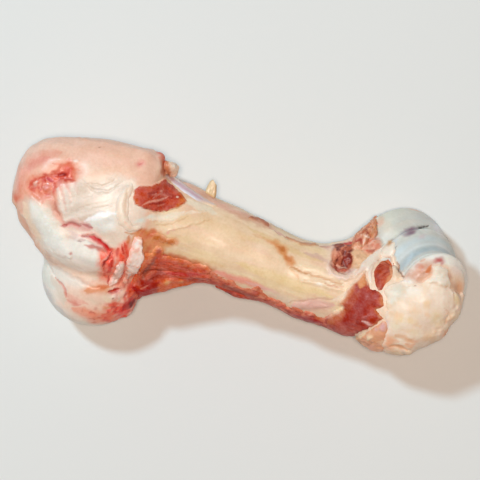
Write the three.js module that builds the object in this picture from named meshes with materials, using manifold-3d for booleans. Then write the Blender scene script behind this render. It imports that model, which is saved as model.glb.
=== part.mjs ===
// A raw veal marrow bone: the whole humerus of a calf, lying on its side with scraps of meat,
// fat and sinew left on it. Millimetres. +X runs along the bone from the shoulder end to the
// elbow end, +Y across it to its front edge, and +Z up from the table it lies on.
//
// The bone is a skin drawn round a field of blended lobes: blocks, tapered rods and hollows.
// What is left on it is either a layer, an outline that hugs the bone at one thickness, or a
// lump of the same kind of lobes, cut to lie on the bone.

import * as THREE from 'three';
import { mergeVertices } from 'three/addons/utils/BufferGeometryUtils.js';
import Module from 'manifold-3d';

const wasm = await Module();
wasm.setup();

const GAP = 0.3; // clearance between two pieces that touch
const TABLE = 0; // the flats that the bone rests on are cut at this height
const ABOVE_ALL = 90; // higher than any part of the bone

// How finely the bone's skin is drawn: round it, along it, over each end, and how often evened.
const BONE_MESH = { around: 34, along: 35, cap: 7, passes: 60 };

// ---- the shoulder end -------------------------------------------------------------------
const HEAD_CENTRE = [-71.4, -22.2, 26.2]; // the ball of the shoulder joint, low on the near side
const HEAD_RADIUS = 26.6;
const TUBERCLE_CENTRE = [-83.3, 21, 47]; // the broad block that the shoulder muscles pull on
const TUBERCLE_HALF = [36, 25, 25];
const TUBERCLE_TURN = 5; // degrees

// ---- the shaft: its middle line and its radius at each station -----------------------------
const SHAFT = [
  { at: [-58, 10, 43], radius: 25 },
  { at: [-34, 12, 41], radius: 20 },
  { at: [-8, 7, 39.5], radius: 18.2 },
  { at: [14, 2.9, 38], radius: 17 },
  { at: [40, -1.8, 36.5], radius: 17.6 },
  { at: [58, -1, 36], radius: 19.5 },
];

// ---- the elbow end: a spool of three ridges on an axle that leans across the bone ----------
const AXLE_LOW = [81.8, 23.2, 17.8]; // its inner end, on the side that lies on the table
const AXLE_HIGH = [101.9, 7.8, 54.5]; // its outer end
// Distance along the axle from its inner end, and the spool's radius there.
const SPOOL = [
  { at: -14, radius: 11 },
  { at: -9, radius: 19 },
  { at: -2, radius: 23.4 },
  { at: 5, radius: 23.6 },
  { at: 10, radius: 21.8 },
  { at: 13.5, radius: 19 }, // the crease between the big ridge and the middle one
  { at: 17, radius: 21.6 },
  { at: 22, radius: 22 },
  { at: 27, radius: 19.8 },
  { at: 32, radius: 17.4 }, // the wide groove that the ulna's beak runs in
  { at: 37, radius: 18.8 },
  { at: 42, radius: 20.6 },
  { at: 46, radius: 19 },
  { at: 48, radius: 12 },
];
const SPOOL_SIDES = 32;
const SPOOL_STEPS = 20;

// The pit over the elbow joint, torn open to the red bone.
const PIT = { centre: [54, 12, 56], half: [7, 7.5, 9] };

// ---------------------------------------------------------------------------- lobes and fields

const vec = (place) => new THREE.Vector3(...place);

const turnAboutZ = (degrees) =>
  new THREE.Quaternion().setFromAxisAngle(new THREE.Vector3(0, 0, 1), THREE.MathUtils.degToRad(degrees));

const TINY = 1e-3;

// Signed depth of a rounded block: an ellipsoid at power 2, squarer as the power rises.
function block(centre, half, power = 2, turn = new THREE.Quaternion()) {
  const middle = vec(centre);
  const back = turn.clone().invert();
  const q = new THREE.Vector3();
  return (p) => {
    q.copy(p).sub(middle).applyQuaternion(back);
    const sum =
      Math.abs(q.x / half[0]) ** power +
      Math.abs(q.y / half[1]) ** power +
      Math.abs(q.z / half[2]) ** power;
    const share = Math.max(sum ** (1 / power), TINY);
    const reach = Math.max(q.length(), TINY);
    return reach - reach / share;
  };
}

// Signed depth of a rod with round ends whose radius changes evenly from one end to the other.
function rod(from, to, radiusFrom, radiusTo) {
  const a = vec(from);
  const run = vec(to).sub(a);
  const q = new THREE.Vector3();
  return (p) => {
    q.copy(p).sub(a);
    const share = THREE.MathUtils.clamp(q.dot(run) / run.lengthSq(), 0, 1);
    return q.addScaledVector(run, -share).length() - THREE.MathUtils.lerp(radiusFrom, radiusTo, share);
  };
}

// The lesser of two depths, with a fillet of the given width where they meet.
const joinSoftly = (a, b, width) => {
  const h = Math.max(width - Math.abs(a - b), 0) / width;
  return Math.min(a, b) - (h * h * width) / 4;
};

const joined = (width, ...fields) => (p) => fields.map((f) => f(p)).reduce((a, b) => joinSoftly(a, b, width));
const hollowed = (field, hollow, width) => (p) => -joinSoftly(-field(p), hollow(p), width);

const PROBE = 0.05;

// The direction in which a field rises fastest.
function gradient(field, p, out) {
  const q = new THREE.Vector3();
  for (const axis of ['x', 'y', 'z']) {
    q.copy(p);
    q[axis] += PROBE;
    const ahead = field(q);
    q[axis] -= 2 * PROBE;
    out[axis] = (ahead - field(q)) / (2 * PROBE);
  }
  return out;
}

// ------------------------------------------------------------------------------ the skin mesh

const MERGE = 1e-4; // vertices nearer than this are one
const FAR = 80; // how far from the spine a skin is looked for
const HALVINGS = 24; // of one millimetre, to find where it ends

// The last place along a ray where the field is still inside.
function outermost(field, root, ray, p) {
  let inner = FAR;
  while (inner > 0 && field(p.copy(root).addScaledVector(ray, inner)) > 0) inner -= 1;
  let outer = inner + 1;
  for (let k = 0; k < HALVINGS; k += 1) {
    const middle = (inner + outer) / 2;
    if (field(p.copy(root).addScaledVector(ray, middle)) > 0) outer = middle;
    else inner = middle;
  }
  return p.copy(root).addScaledVector(ray, inner);
}

// Draws a closed skin round a field: a capsule's mesh is stretched over a spine curve, each
// vertex goes out along its own ray to where the field ends, and the mesh is then evened out.
function skin(field, spine, { around, along, cap, passes }) {
  const length = 2;
  const capsule = new THREE.CapsuleGeometry(1, length, cap, around, along).rotateZ(-Math.PI / 2);
  capsule.deleteAttribute('normal');
  capsule.deleteAttribute('uv');
  const geometry = mergeVertices(capsule, MERGE);
  const position = geometry.getAttribute('position');
  const chord = spine.getPoint(1).sub(spine.getPoint(0)).normalize();
  const turn = new THREE.Quaternion().setFromUnitVectors(new THREE.Vector3(1, 0, 0), chord);
  const ray = new THREE.Vector3();
  const p = new THREE.Vector3();
  for (let i = 0; i < position.count; i += 1) {
    ray.fromBufferAttribute(position, i);
    const share = THREE.MathUtils.clamp(ray.x / length + 0.5, 0, 1);
    ray.x -= (share - 0.5) * length;
    ray.normalize().applyQuaternion(turn);
    outermost(field, spine.getPoint(share), ray, p);
    position.setXYZ(i, p.x, p.y, p.z);
  }
  evenOut(geometry, field, passes);
  return geometry;
}

// Brings a point back to the field's surface.
function settle(field, p) {
  const slope = new THREE.Vector3();
  for (let turn = 0; turn < 2; turn += 1) {
    const depth = field(p);
    gradient(field, p, slope);
    p.addScaledVector(slope, -depth / Math.max(slope.lengthSq(), PROBE));
  }
  return p;
}

// Moves each vertex halfway to the middle of its neighbours and back to the surface, in passes.
function evenOut(geometry, field, passes) {
  const position = geometry.getAttribute('position');
  const index = geometry.getIndex();
  const beside = Array.from({ length: position.count }, () => new Set());
  for (let i = 0; i < index.count; i += 3) {
    const corners = [index.getX(i), index.getX(i + 1), index.getX(i + 2)];
    for (const a of corners) for (const b of corners) if (a !== b) beside[a].add(b);
  }
  const p = new THREE.Vector3();
  const middle = new THREE.Vector3();
  for (let pass = 0; pass < passes; pass += 1) {
    const next = beside.map((neighbours, i) => {
      middle.set(0, 0, 0);
      for (const j of neighbours) middle.add(p.fromBufferAttribute(position, j));
      middle.divideScalar(neighbours.size);
      return settle(field, p.fromBufferAttribute(position, i).lerp(middle, 0.5).clone());
    });
    next.forEach((v, i) => position.setXYZ(i, v.x, v.y, v.z));
  }
}

// Moves a skin outwards by an amount that may depend on the place.
function swellBy(geometry, field, amount) {
  const position = geometry.getAttribute('position');
  const slope = new THREE.Vector3();
  const p = new THREE.Vector3();
  for (let i = 0; i < position.count; i += 1) {
    p.fromBufferAttribute(position, i);
    gradient(field, p, slope).normalize();
    p.addScaledVector(slope, typeof amount === 'function' ? amount(p) : amount);
    position.setXYZ(i, p.x, p.y, p.z);
  }
}

// ------------------------------------------------------------------------------- solid algebra

function solid(geometry) {
  const bare = geometry.clone();
  for (const name of Object.keys(bare.attributes)) if (name !== 'position') bare.deleteAttribute(name);
  const merged = mergeVertices(bare, MERGE);
  return new wasm.Manifold(
    new wasm.Mesh({
      numProp: 3,
      vertProperties: new Float32Array(merged.getAttribute('position').array),
      triVerts: new Uint32Array(merged.getIndex().array),
    }),
  );
}

function toGeometry(body) {
  const mesh = body.getMesh();
  const geometry = new THREE.BufferGeometry();
  geometry.setAttribute('position', new THREE.BufferAttribute(new Float32Array(mesh.vertProperties), 3));
  geometry.setIndex(new THREE.BufferAttribute(new Uint32Array(mesh.triVerts), 1));
  geometry.computeVertexNormals();
  return geometry;
}

// ------------------------------------------------------------------------------------ the bone

const shaft = joined(
  10,
  ...SHAFT.slice(1).map((station, i) => rod(SHAFT[i].at, station.at, SHAFT[i].radius, station.radius)),
);

const shoulder = joined(
  8,
  block(TUBERCLE_CENTRE, TUBERCLE_HALF, 2.9, turnAboutZ(TUBERCLE_TURN)), // greater tubercle
  block([-67, 25.2, 46], [22, 22.3, 24], 5), // its back crest, over the neck
  block([-99, 10, 37], [19.5, 21, 28], 2.3), // lesser tubercle, underneath
  rod([-105.5, 4, 44], [-92, -10, 44], 8.8, 8.8), // the smooth lip where the arm's tendon runs
  block([-74, 0, 40], [30, 23.5, 30], 2.3), // the body between tubercle and head
  block([-92, 24, 21], [20, 19, 21.5], 2.3), // underside knob that the bone rests on
);
const head = joined(
  6,
  block(HEAD_CENTRE, [HEAD_RADIUS, HEAD_RADIUS, HEAD_RADIUS]),
  rod([-60, -32, 27], [-56, -22, 30], 13.5, 12), // its swollen edge towards the shaft
);

const elbow = joined(
  8,
  rod([56, -1.5, 36], [77, -5.5, 38], 19.5, 21.5), // the flare of the shaft
  block([88, -4.5, 43], [20.5, 21.8, 21], 2.3), // outer knuckle, under the fat
  block([100.5, 4, 46], [14, 15, 18.5], 2.5), // its far end, capping the spool
  block([84, -9, 20], [20, 17, 20.5], 2.3), // inner knuckle, on the table
  rod([61, 7, 34], [75, 25, 27], 15.5, 14.5), // front of the flare
  block([84, 20, 22], [17, 17, 16], 2.2), // the flare's end, inside the spool
);

const whole = joined(3.5, joined(7, shaft, shoulder, elbow), head);

const hollows = [
  { field: rod([-109, 17, 73], [-94, 26, 74], 2.5, 4), width: 4 }, // torn hollow in the tubercle
  { field: rod([-106, 9, 77], [-66, -8, 70], 3, 4), width: 8 }, // furrow below the tubercle
];
const boneField = hollows.reduce((field, hollow) => hollowed(field, hollow.field, hollow.width), whole);

const SPINE = new THREE.CatmullRomCurve3([
  vec([-82, 4, 38]),
  vec([-45, 8, 40]),
  vec([12, 3, 38]),
  vec([60, 0, 36]),
  vec([88, 4, 36]),
]);
const baseSkin = skin(boneField, SPINE, BONE_MESH);

const AXLE = vec(AXLE_HIGH).sub(vec(AXLE_LOW));
const AXLE_TURN = new THREE.Quaternion().setFromUnitVectors(new THREE.Vector3(0, 1, 0), AXLE.normalize());

// The joint's spool, turned on its axle.
function spool(swell) {
  const edge = new THREE.CatmullRomCurve3(SPOOL.map(({ at, radius }) => new THREE.Vector3(radius, at, 0)));
  const profile = edge.getPoints(SPOOL_STEPS).map((p) => new THREE.Vector2(p.x + swell, p.y));
  profile.unshift(new THREE.Vector2(0, profile[0].y));
  profile.push(new THREE.Vector2(0, profile.at(-1).y));
  return new THREE.LatheGeometry(profile, SPOOL_SIDES)
    .applyQuaternion(AXLE_TURN)
    .translate(...AXLE_LOW);
}

// The bone's outside, standing off by the given amount, which may vary from place to place.
function boneOutside(swell) {
  const outside = baseSkin.clone();
  if (swell) swellBy(outside, boneField, swell);
  return solid(outside);
}

const TABLE_SIZE = [400, 300, 100];
const table = solid(new THREE.BoxGeometry(...TABLE_SIZE).translate(0, 0, TABLE - TABLE_SIZE[2] / 2));
const pit = solid(new THREE.SphereGeometry(1, 14, 9).scale(...PIT.half).translate(...PIT.centre));
const bone = boneOutside(0).add(solid(spool(0))).subtract(pit).subtract(table);
const clearance = boneOutside(GAP).add(solid(spool(GAP)));

// Height of the bone's upper surface over a point in plan.
function topAt(x, y) {
  const foot = new THREE.Vector3(x, y, TABLE);
  const up = new THREE.Vector3(0, 0, 1);
  return outermost(boneField, foot, up, new THREE.Vector3()).z;
}

// --------------------------------------------------------------------------- what is left on it
// Each shape below runs on into the bone, and is cut back from it when it is put on.

// An outline in plan through the given points, moved outwards by grow.
function outline(points, grow) {
  const corners = points.map(([x, y]) => new THREE.Vector3(x, y, 0));
  const loop = new THREE.CatmullRomCurve3(corners, true, 'catmullrom', 0.4);
  const ring = loop.getPoints(points.length * 2).slice(0, -1).map((p) => new THREE.Vector2(p.x, p.y));
  const side = Math.sign(THREE.ShapeUtils.area(ring));
  return ring.map((p, i) => {
    const before = ring.at(i - 1);
    const after = ring[(i + 1) % ring.length];
    const along = after.clone().sub(before).normalize();
    return new THREE.Vector2(p.x + along.y * grow * side, p.y - along.x * grow * side);
  });
}

// How far a point lies inside an outline.
function depthInside(ring, x, y) {
  let least = Infinity;
  const p = new THREE.Vector2(x, y);
  ring.forEach((a, i) => {
    const run = ring[(i + 1) % ring.length].clone().sub(a);
    const share = THREE.MathUtils.clamp(p.clone().sub(a).dot(run) / run.lengthSq(), 0, 1);
    least = Math.min(least, p.distanceTo(a.clone().addScaledVector(run, share)));
  });
  return least;
}

// A layer on the bone: full thickness inside, thinner towards its edge, down to the given height.
function layer({ points, thick, edge = 0.5, soften = 4, bottom = 30 }) {
  return (grow) => {
    const ring = outline(points, grow);
    const depth = ABOVE_ALL - bottom;
    const plate = new THREE.ExtrudeGeometry(new THREE.Shape(ring), { depth, bevelEnabled: false });
    const rise = (p) => {
      const share = Math.min(depthInside(ring, p.x, p.y) / soften, 1);
      return thick * (edge + (1 - edge) * Math.sqrt(share)) + grow;
    };
    return boneOutside(rise).intersect(solid(plate.translate(0, 0, bottom - grow)));
  };
}

// A lump of rods set end to end: each runs between two places and has a radius at each.
function lump({ rods, width = 4, around = 10, along = 12, cap = 3, passes = 8 }) {
  const field = joined(width, ...rods.map(({ from, to, radii }) => rod(from, to, ...radii)));
  const spine = new THREE.CatmullRomCurve3([rods[0].from, ...rods.map(({ to }) => to)].map(vec));
  return (grow) => {
    const grown = (p) => field(p) - grow;
    return solid(skin(grown, spine, { around, along, cap, passes }));
  };
}

// Rods end to end over the bone's upper surface, through places given in plan with a radius.
function surfaceRods(stops, lift = 0) {
  const places = stops.map(([x, y]) => [x, y, topAt(x, y) + lift]);
  return stops.slice(1).map((stop, i) => ({
    from: places[i],
    to: places[i + 1],
    radii: [stops[i][2], stop[2]],
  }));
}

// Rods end to end through places that are each given with a radius.
function rodsThrough(stops) {
  return stops.slice(1).map((stop, i) => ({
    from: stops[i].slice(0, 3),
    to: stop.slice(0, 3),
    radii: [stops[i][3], stop[3]],
  }));
}

// Fat and fascia over the outer knuckle of the elbow.
const fatPad = layer({
  points: [
    [79, 3], [86, 9], [94, 11], [99, 18], [107, 18], [110, 10], [118, 8], [121, -8],
    [116, -20], [106, -30], [93, -36], [85, -36], [81, -24], [84, -12], [82, -5],
  ],
  thick: 3.6,
  bottom: 26,
});

// A loose flap of fat beside it, hanging over the near edge.
const fatFlap = layer({
  points: [[66, -28], [71, -22], [75, -19.5], [81, -18], [80.5, -26], [84.5, -37], [72, -37]],
  thick: 2.6,
  bottom: 34,
});

// A white band of ligament from the shaft to the spool.
const ligamentBand = layer({
  points: [[60, 3.5], [63, 11], [69, 18], [76, 26], [79.5, 22], [74.5, 16.5], [70, 9], [66, 9.5], [62, 3]],
  thick: 2.4,
  bottom: 40,
});

// Muscle cut off over the flare, from the top down its near side.
const meatElbow = layer({
  points: [
    [65, 8], [61, 2], [58, -8], [55, -13], [52, -20], [52, -30], [63, -33],
    [66, -25], [72, -20], [70, -16.5], [79, -15], [76, -10], [79, -6], [76, -2], [71, 1],
  ],
  thick: 4.5,
  bottom: 20,
});

// A sliver of muscle between the ligament and the spool.
const meatSliver = layer({
  points: [[71, 9], [73, 14], [76.5, 17], [79, 14], [80, 8.5], [76, 3.5], [74, 2.5]],
  thick: 2,
  bottom: 40,
});

// A square patch of muscle on the neck, under the crest.
const meatNeck = layer({
  points: [[-59, 26], [-50, 28], [-46, 33.5], [-41, 31], [-32, 24.5], [-40, 18], [-46, 16.5], [-56, 18]],
  thick: 3.4,
  bottom: 40,
});

// The stump of the big muscle on the near side of the neck.
const meatStump = lump({
  rods: rodsThrough([
    [-46.5, -19, 31, 9.5],
    [-41, -16, 36, 11.4],
    [-27, -11.5, 39, 9],
    [-11, -8.5, 38, 5.8],
  ]),
  width: 5,
  around: 11,
  along: 10,
});

// Its upper edge, spread thinly over the neck.
const meatSpread = layer({
  points: [
    [-47, 2], [-41, 0], [-34, -3.5], [-22, -4.5], [-8, -7.5],
    [-20, -16], [-40, -22], [-49, -24], [-46, -8],
  ],
  thick: 2.4,
  bottom: 36,
});

const meatShaft = (grow) => meatStump(grow).add(meatSpread(grow));

// A brown scrap above the stump.
const meatNub = layer({
  points: [[-46.5, 5.5], [-42, 6.6], [-33.5, 5.5], [-32.5, 2.5], [-36, 0.8], [-41, 0.8], [-45, 0]],
  thick: 2,
  bottom: 40,
});

// A long ragged strip along the shaft's near side.
const meatStrip = lump({
  rods: rodsThrough([
    [-6, -10, 37, 5],
    [4, -12, 37, 5],
    [14, -13.4, 37, 4.4],
    [24, -15.4, 37, 4.2],
    [35, -17.8, 37, 4.8],
    [48, -19.2, 37, 4.4],
  ]),
  around: 8,
  along: 17,
});

// Silvery tendon along the front edge.
const tendon = layer({
  points: [[-44, 34], [-42.5, 38], [-32, 34.5], [-20, 29], [-14, 26.5], [-16, 24.5], [-22, 25], [-31, 28], [-40, 32]],
  thick: 2,
  bottom: 42,
});

// A roll of fat curled round the end of the neck.
const fatFold = lump({
  rods: surfaceRods([[-62, 21, 3], [-66, 14, 3.8], [-64, 8, 4], [-58, 4.5, 3.8], [-51.5, 6, 3]], -1),
  around: 8,
});

// Torn strips of the joint capsule, hanging down beside the head.
const capsuleFlap = layer({
  points: [
    [-54, 2.5], [-50.5, 4], [-47.5, -2], [-48, -8], [-50, -15],
    [-53, -22], [-56, -21], [-53.5, -13], [-52.5, -6],
  ],
  thick: 2.6,
  bottom: 40,
});

const capsuleStrip = layer({
  points: [[-59, -11], [-57, -12], [-58, -20], [-60, -27], [-63, -26], [-61, -19]],
  thick: 2.2,
  bottom: 40,
});

// Ragged fibres between the pit and the spool's big ridge.
const fibresElbow = lump({
  rods: rodsThrough([
    [58, 21, 44, 4.4],
    [60.5, 26, 40, 4.6],
    [64.5, 30, 35, 5.4],
    [66.5, 36, 28, 3.4],
  ]),
  around: 9,
  along: 9,
});

// The cut end of the sheath over the tubercle, curling away from it.
const cuffFlap = lump({
  rods: rodsThrough([
    [-47, 37, 44, 4],
    [-44.5, 39, 50, 4.4],
    [-43.5, 40, 57, 3],
  ]),
  around: 8,
  along: 8,
});

// A thin leaf standing off the bone: an outline in plan, its thickness, and the height of its middle.
function leaf({ points, thick, middle }) {
  return (grow) =>
    solid(
      new THREE.ExtrudeGeometry(new THREE.Shape(outline(points, grow)), {
        depth: thick + 2 * grow,
        bevelEnabled: false,
      }).translate(0, 0, middle - thick / 2 - grow),
    );
}

// A tag of sinew that stands out from the front edge.
const tissueTag = leaf({
  points: [[-23, 27], [-22.5, 35], [-20.5, 38.8], [-18.5, 37.5], [-17.5, 27]],
  thick: 1.8,
  middle: 45,
});

const pieces = {
  fat_pad: { slot: 'fat', make: fatPad },
  fat_flap: { slot: 'fat', make: fatFlap },
  fat_fold: { slot: 'fat', make: fatFold },
  ligament_band: { slot: 'sinew', make: ligamentBand },
  tendon: { slot: 'sinew', make: tendon },
  capsule_flap: { slot: 'sinew', make: capsuleFlap },
  capsule_strip: { slot: 'sinew', make: capsuleStrip },
  tissue_tag: { slot: 'sinew', make: tissueTag },
  cuff_flap: { slot: 'sinew', make: cuffFlap },
  meat_neck: { slot: 'meat', make: meatNeck },
  meat_nub: { slot: 'meat', make: meatNub },
  meat_shaft: { slot: 'meat', make: meatShaft },
  meat_strip: { slot: 'meat', make: meatStrip },
  meat_elbow: { slot: 'meat', make: meatElbow },
  meat_sliver: { slot: 'meat', make: meatSliver },
  fibres_elbow: { slot: 'meat', make: fibresElbow },
};

// ------------------------------------------------------------------------------------ assembly

const MATERIALS = {
  bone: { color: 0xecd1b3, roughness: 0.5 },
  fat: { color: 0xf3e7d7, roughness: 0.45 },
  sinew: { color: 0xe6e4da, roughness: 0.4 },
  meat: { color: 0xb04a3a, roughness: 0.45 },
};

const group = new THREE.Group();

function add(name, slot, body) {
  const finish = MATERIALS[slot];
  const mesh = new THREE.Mesh(toGeometry(body), new THREE.MeshStandardMaterial({ ...finish, metalness: 0 }));
  mesh.name = name;
  group.add(mesh);
}

add('humerus', 'bone', bone);
// Each piece gives way to the bone and to the pieces named before it.
let taken = clearance;
for (const [name, { slot, make }] of Object.entries(pieces)) {
  add(name, slot, make(0).subtract(taken));
  taken = taken.add(make(GAP));
}

// The origin goes to the middle of the whole part's plan, on the table.
const box = new THREE.Box3().setFromObject(group);
const middle = box.getCenter(new THREE.Vector3());
group.position.set(-middle.x, -middle.y, -box.min.z);

export default group;
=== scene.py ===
import math

import bmesh
import bpy
import numpy as np
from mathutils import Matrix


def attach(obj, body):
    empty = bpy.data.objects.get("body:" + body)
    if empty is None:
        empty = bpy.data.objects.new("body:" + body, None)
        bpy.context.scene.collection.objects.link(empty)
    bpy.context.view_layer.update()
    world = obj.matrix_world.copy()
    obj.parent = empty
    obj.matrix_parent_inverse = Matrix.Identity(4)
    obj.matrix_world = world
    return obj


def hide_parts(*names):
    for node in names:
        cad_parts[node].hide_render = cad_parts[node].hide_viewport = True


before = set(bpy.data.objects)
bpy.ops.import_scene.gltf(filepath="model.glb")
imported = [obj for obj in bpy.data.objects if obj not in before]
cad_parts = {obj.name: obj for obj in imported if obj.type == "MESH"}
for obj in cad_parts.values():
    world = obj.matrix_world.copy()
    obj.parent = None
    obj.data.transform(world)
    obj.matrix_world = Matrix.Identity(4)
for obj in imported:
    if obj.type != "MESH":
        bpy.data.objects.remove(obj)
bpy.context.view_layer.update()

# ---------------------------------------------------------------------------------------------
# The table, the lamps and the camera. The bone lies flat on a plain pale table under a soft lamp
# high on the shoulder side and another right overhead, in a bright room. The view is from above.

MM = 0.001
TABLE_COLOUR = "#dadbd8"
TABLE_ROUGHNESS = 0.85
TABLE_REACH = 6.0  # m, from its middle to its edge
LOOK_AT = (-0.24, 10.6)  # mm, the plan place in the middle of the view
LOOK_TURN = 12.0  # degrees, the bone's long axis against the view's level
EYE_HEIGHT = 1500.0  # mm
VIEW_WIDTH = 247.2  # mm
VIEW_PLANE = 40.0  # mm over the table, where the view is VIEW_WIDTH wide
SENSOR = 36.0  # mm
LAMP_WAY = (-0.53, 0.35, 1.0)  # from the bone towards the lamp
LAMP_DISTANCE = 2.0  # m
LAMP_SIZE = 0.2  # m
LAMP_POWER = 22.8  # W
LAMP_COLOUR = "#c6ebff"
SKY_HEIGHT = 2.2  # m, of the lamp overhead
SKY_SIZE = 0.25  # m
SKY_POWER = 32.0  # W
ROOM_COLOUR = "#ffebdd"
ROOM_STRENGTH = 0.1


def linear(code):
    """The linear RGBA of an sRGB hex colour."""
    parts = [int(code[i : i + 2], 16) / 255 for i in (1, 3, 5)]
    return [c / 12.92 if c <= 0.04045 else ((c + 0.055) / 1.055) ** 2.4 for c in parts] + [1.0]


def add(tree, kind, inputs=None, **settings):
    """Adds a shader node. Each input is a value or the output socket that feeds it."""
    node = tree.nodes.new(kind)
    for name, value in settings.items():
        setattr(node, name, value)
    for name, value in (inputs or {}).items():
        if isinstance(value, bpy.types.NodeSocket):
            tree.links.new(value, node.inputs[name])
        else:
            node.inputs[name].default_value = value
    return node


def new_material(name):
    """An empty material, its node tree and its output node."""
    material = bpy.data.materials.new(name)
    material.use_nodes = True
    material.node_tree.nodes.clear()
    return material, material.node_tree, add(material.node_tree, "ShaderNodeOutputMaterial")


def object_from(name, mesh):
    thing = bpy.data.objects.new(name, mesh)
    bpy.context.scene.collection.objects.link(thing)
    return thing


def disk_lamp(name, size, power, colour, direction, distance):
    """A round lamp that shines on the bone from a direction."""
    data = bpy.data.lights.new(name, "AREA")
    data.shape = "DISK"
    data.size = size
    data.energy = power
    data.color = linear(colour)[:3]
    lamp = object_from(name, data)
    way = np.array(direction) / np.linalg.norm(direction)
    lamp.location = way * distance
    lamp.rotation_euler = (0, math.acos(way[2]), math.atan2(way[1], way[0]))


# Painted table board: matt, even, with no grain that shows.
board, tree, out = new_material("matt_painted_board")
paint = add(tree, "ShaderNodeBsdfPrincipled", {
    "Base Color": linear(TABLE_COLOUR),
    "Roughness": TABLE_ROUGHNESS,
})
tree.links.new(paint.outputs["BSDF"], out.inputs["Surface"])

sheet = bmesh.new()
bmesh.ops.create_grid(sheet, x_segments=1, y_segments=1, size=TABLE_REACH)
table_mesh = bpy.data.meshes.new("table")
sheet.to_mesh(table_mesh)
sheet.free()
table = object_from("table", table_mesh)
table.data.materials.append(board)

disk_lamp("lamp", LAMP_SIZE, LAMP_POWER, LAMP_COLOUR, LAMP_WAY, LAMP_DISTANCE)
disk_lamp("sky", SKY_SIZE, SKY_POWER, ROOM_COLOUR, (0, 0, 1), SKY_HEIGHT)

room = bpy.data.worlds.new("room")
room.use_nodes = True
air = room.node_tree.nodes["Background"].inputs
air["Color"].default_value = linear(ROOM_COLOUR)
air["Strength"].default_value = ROOM_STRENGTH
bpy.context.scene.world = room
bpy.context.scene.view_settings.view_transform = "Standard"

eye_data = bpy.data.cameras.new("eye")
eye_data.sensor_width = SENSOR
eye_data.lens = SENSOR * (EYE_HEIGHT - VIEW_PLANE) / VIEW_WIDTH
eye = object_from("eye", eye_data)
eye.location = (LOOK_AT[0] * MM, LOOK_AT[1] * MM, EYE_HEIGHT * MM)
eye.rotation_euler = (0, 0, math.radians(LOOK_TURN))
bpy.context.scene.camera = eye

# ---------------------------------------------------------------------------------------------
# The humerus. Fresh bone: a shaft in its thin cream periosteum, a shoulder end wrapped in a
# wet white joint capsule that was torn when the shoulder blade came off, and bare blue-grey
# cartilage on the ball and on the elbow's spool. All of it grew as one piece.

ORIGIN = np.array([0.362, -0.445, 0.0])  # mm, where the bone's own plan has its zero
PLAN_CENTRE = np.array(LOOK_AT) - ORIGIN[:2]
BONE_GRAIN = 1.25  # mm between the vertices of the bone's skin, and half of it on top
PAINT_GAIN = np.array([0.95, 0.92, 0.91])  # from a colour as it looks lit to the tissue's own
RIM_PAINTED_LIGHT = 0.3  # painted light: how much lighter colours are made on steep sides, which the lamps light less
# the painted light on steep sides lightens red more than green and blue
RIM_LIGHT_TINT = np.array([1.0, 0.8, 0.78])
BALL_MIDDLE = np.array([-71.4, -22.2, 26.2])
BALL_RADIUS = 26.6
AXLE_LOW = np.array([81.8, 23.2, 17.8])  # the spool's axle, from its inner end
AXLE_HIGH = np.array([101.9, 7.8, 54.5])
AXLE_STEP = 0.25  # mm between the places on the axle where the spool's radius is worked out
EDGE_BLUR = 0.55  # mm, how softly its rings run into each other
# Distance along the axle and the spool's radius there.
SPOOL_EDGE = np.array([
    (-14, 11), (-9, 19), (-2, 23.4), (5, 23.9), (11, 23.1), (15.2, 20.4), (16.8, 19.6),
    (18.2, 21.2), (21, 22.2), (25, 21.2), (29, 18.8), (34, 16.6), (37.5, 16.4), (40, 18),
    (42.4, 18.6), (45, 17.8), (48, 12),
])


HASH_PRIMES = (73856093, 19349663, 83492791)  # they scramble a cell's place into its own number
HASH_MIX = 1274126177
BROAD_WAVE, BROAD_DRIFT = 6.0, 1.2  # mm, the size of the waves in an edge, and how far they go
FINE_WAVE, FINE_DRIFT = 1.7, 0.6
PULL = 0.6  # how far one turn of smoothing takes a vertex to its neighbours' mean


def smooth(low, high, value):
    """0 below low, 1 above high, and a soft rise between."""
    t = np.clip((value - low) / (high - low), 0, 1)
    return t * t * (3 - 2 * t)


def noise(p, size, seed=0):
    """Smooth noise from -1 to 1 at places in mm, with bumps of about the given size."""
    q = p / size + 11.7 * seed
    cell = np.floor(q).astype(np.int64)
    f = smooth(0, 1, q - cell)
    total = np.zeros(len(p))
    for corner in range(8):
        step = np.array([corner & 1, corner >> 1 & 1, corner >> 2])
        share = np.prod(np.where(step, f, 1 - f), axis=1)
        key = ((cell + step + seed * 101) * HASH_PRIMES).sum(1)
        key = (key ^ (key >> 13)) * HASH_MIX
        total += share * (((key ^ (key >> 16)) & 0xFFFF) / 32767.5 - 1)
    return total


def rough(p, size, seed=0, layers=3):
    """Noise with finer and finer bumps on it."""
    total = sum(noise(p, size / 2**k, seed + k) / 2**k for k in range(layers))
    return total / (2 - 0.5 ** (layers - 1))


def drawn(p, degrees, stretch):
    """Places squeezed along a direction in plan, so that noise at them runs out into fibres."""
    c, s = math.cos(math.radians(degrees)), math.sin(math.radians(degrees))
    x, y, z = p.T
    return np.stack([(x * c + y * s) / stretch, y * c - x * s, z], axis=1)


def read(items, name, width=3, kind=np.float32):
    """One value of every item of a mesh, a row each."""
    flat = np.zeros(len(items) * width, kind)
    items.foreach_get(name, flat)
    return flat.reshape(-1, width)


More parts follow.
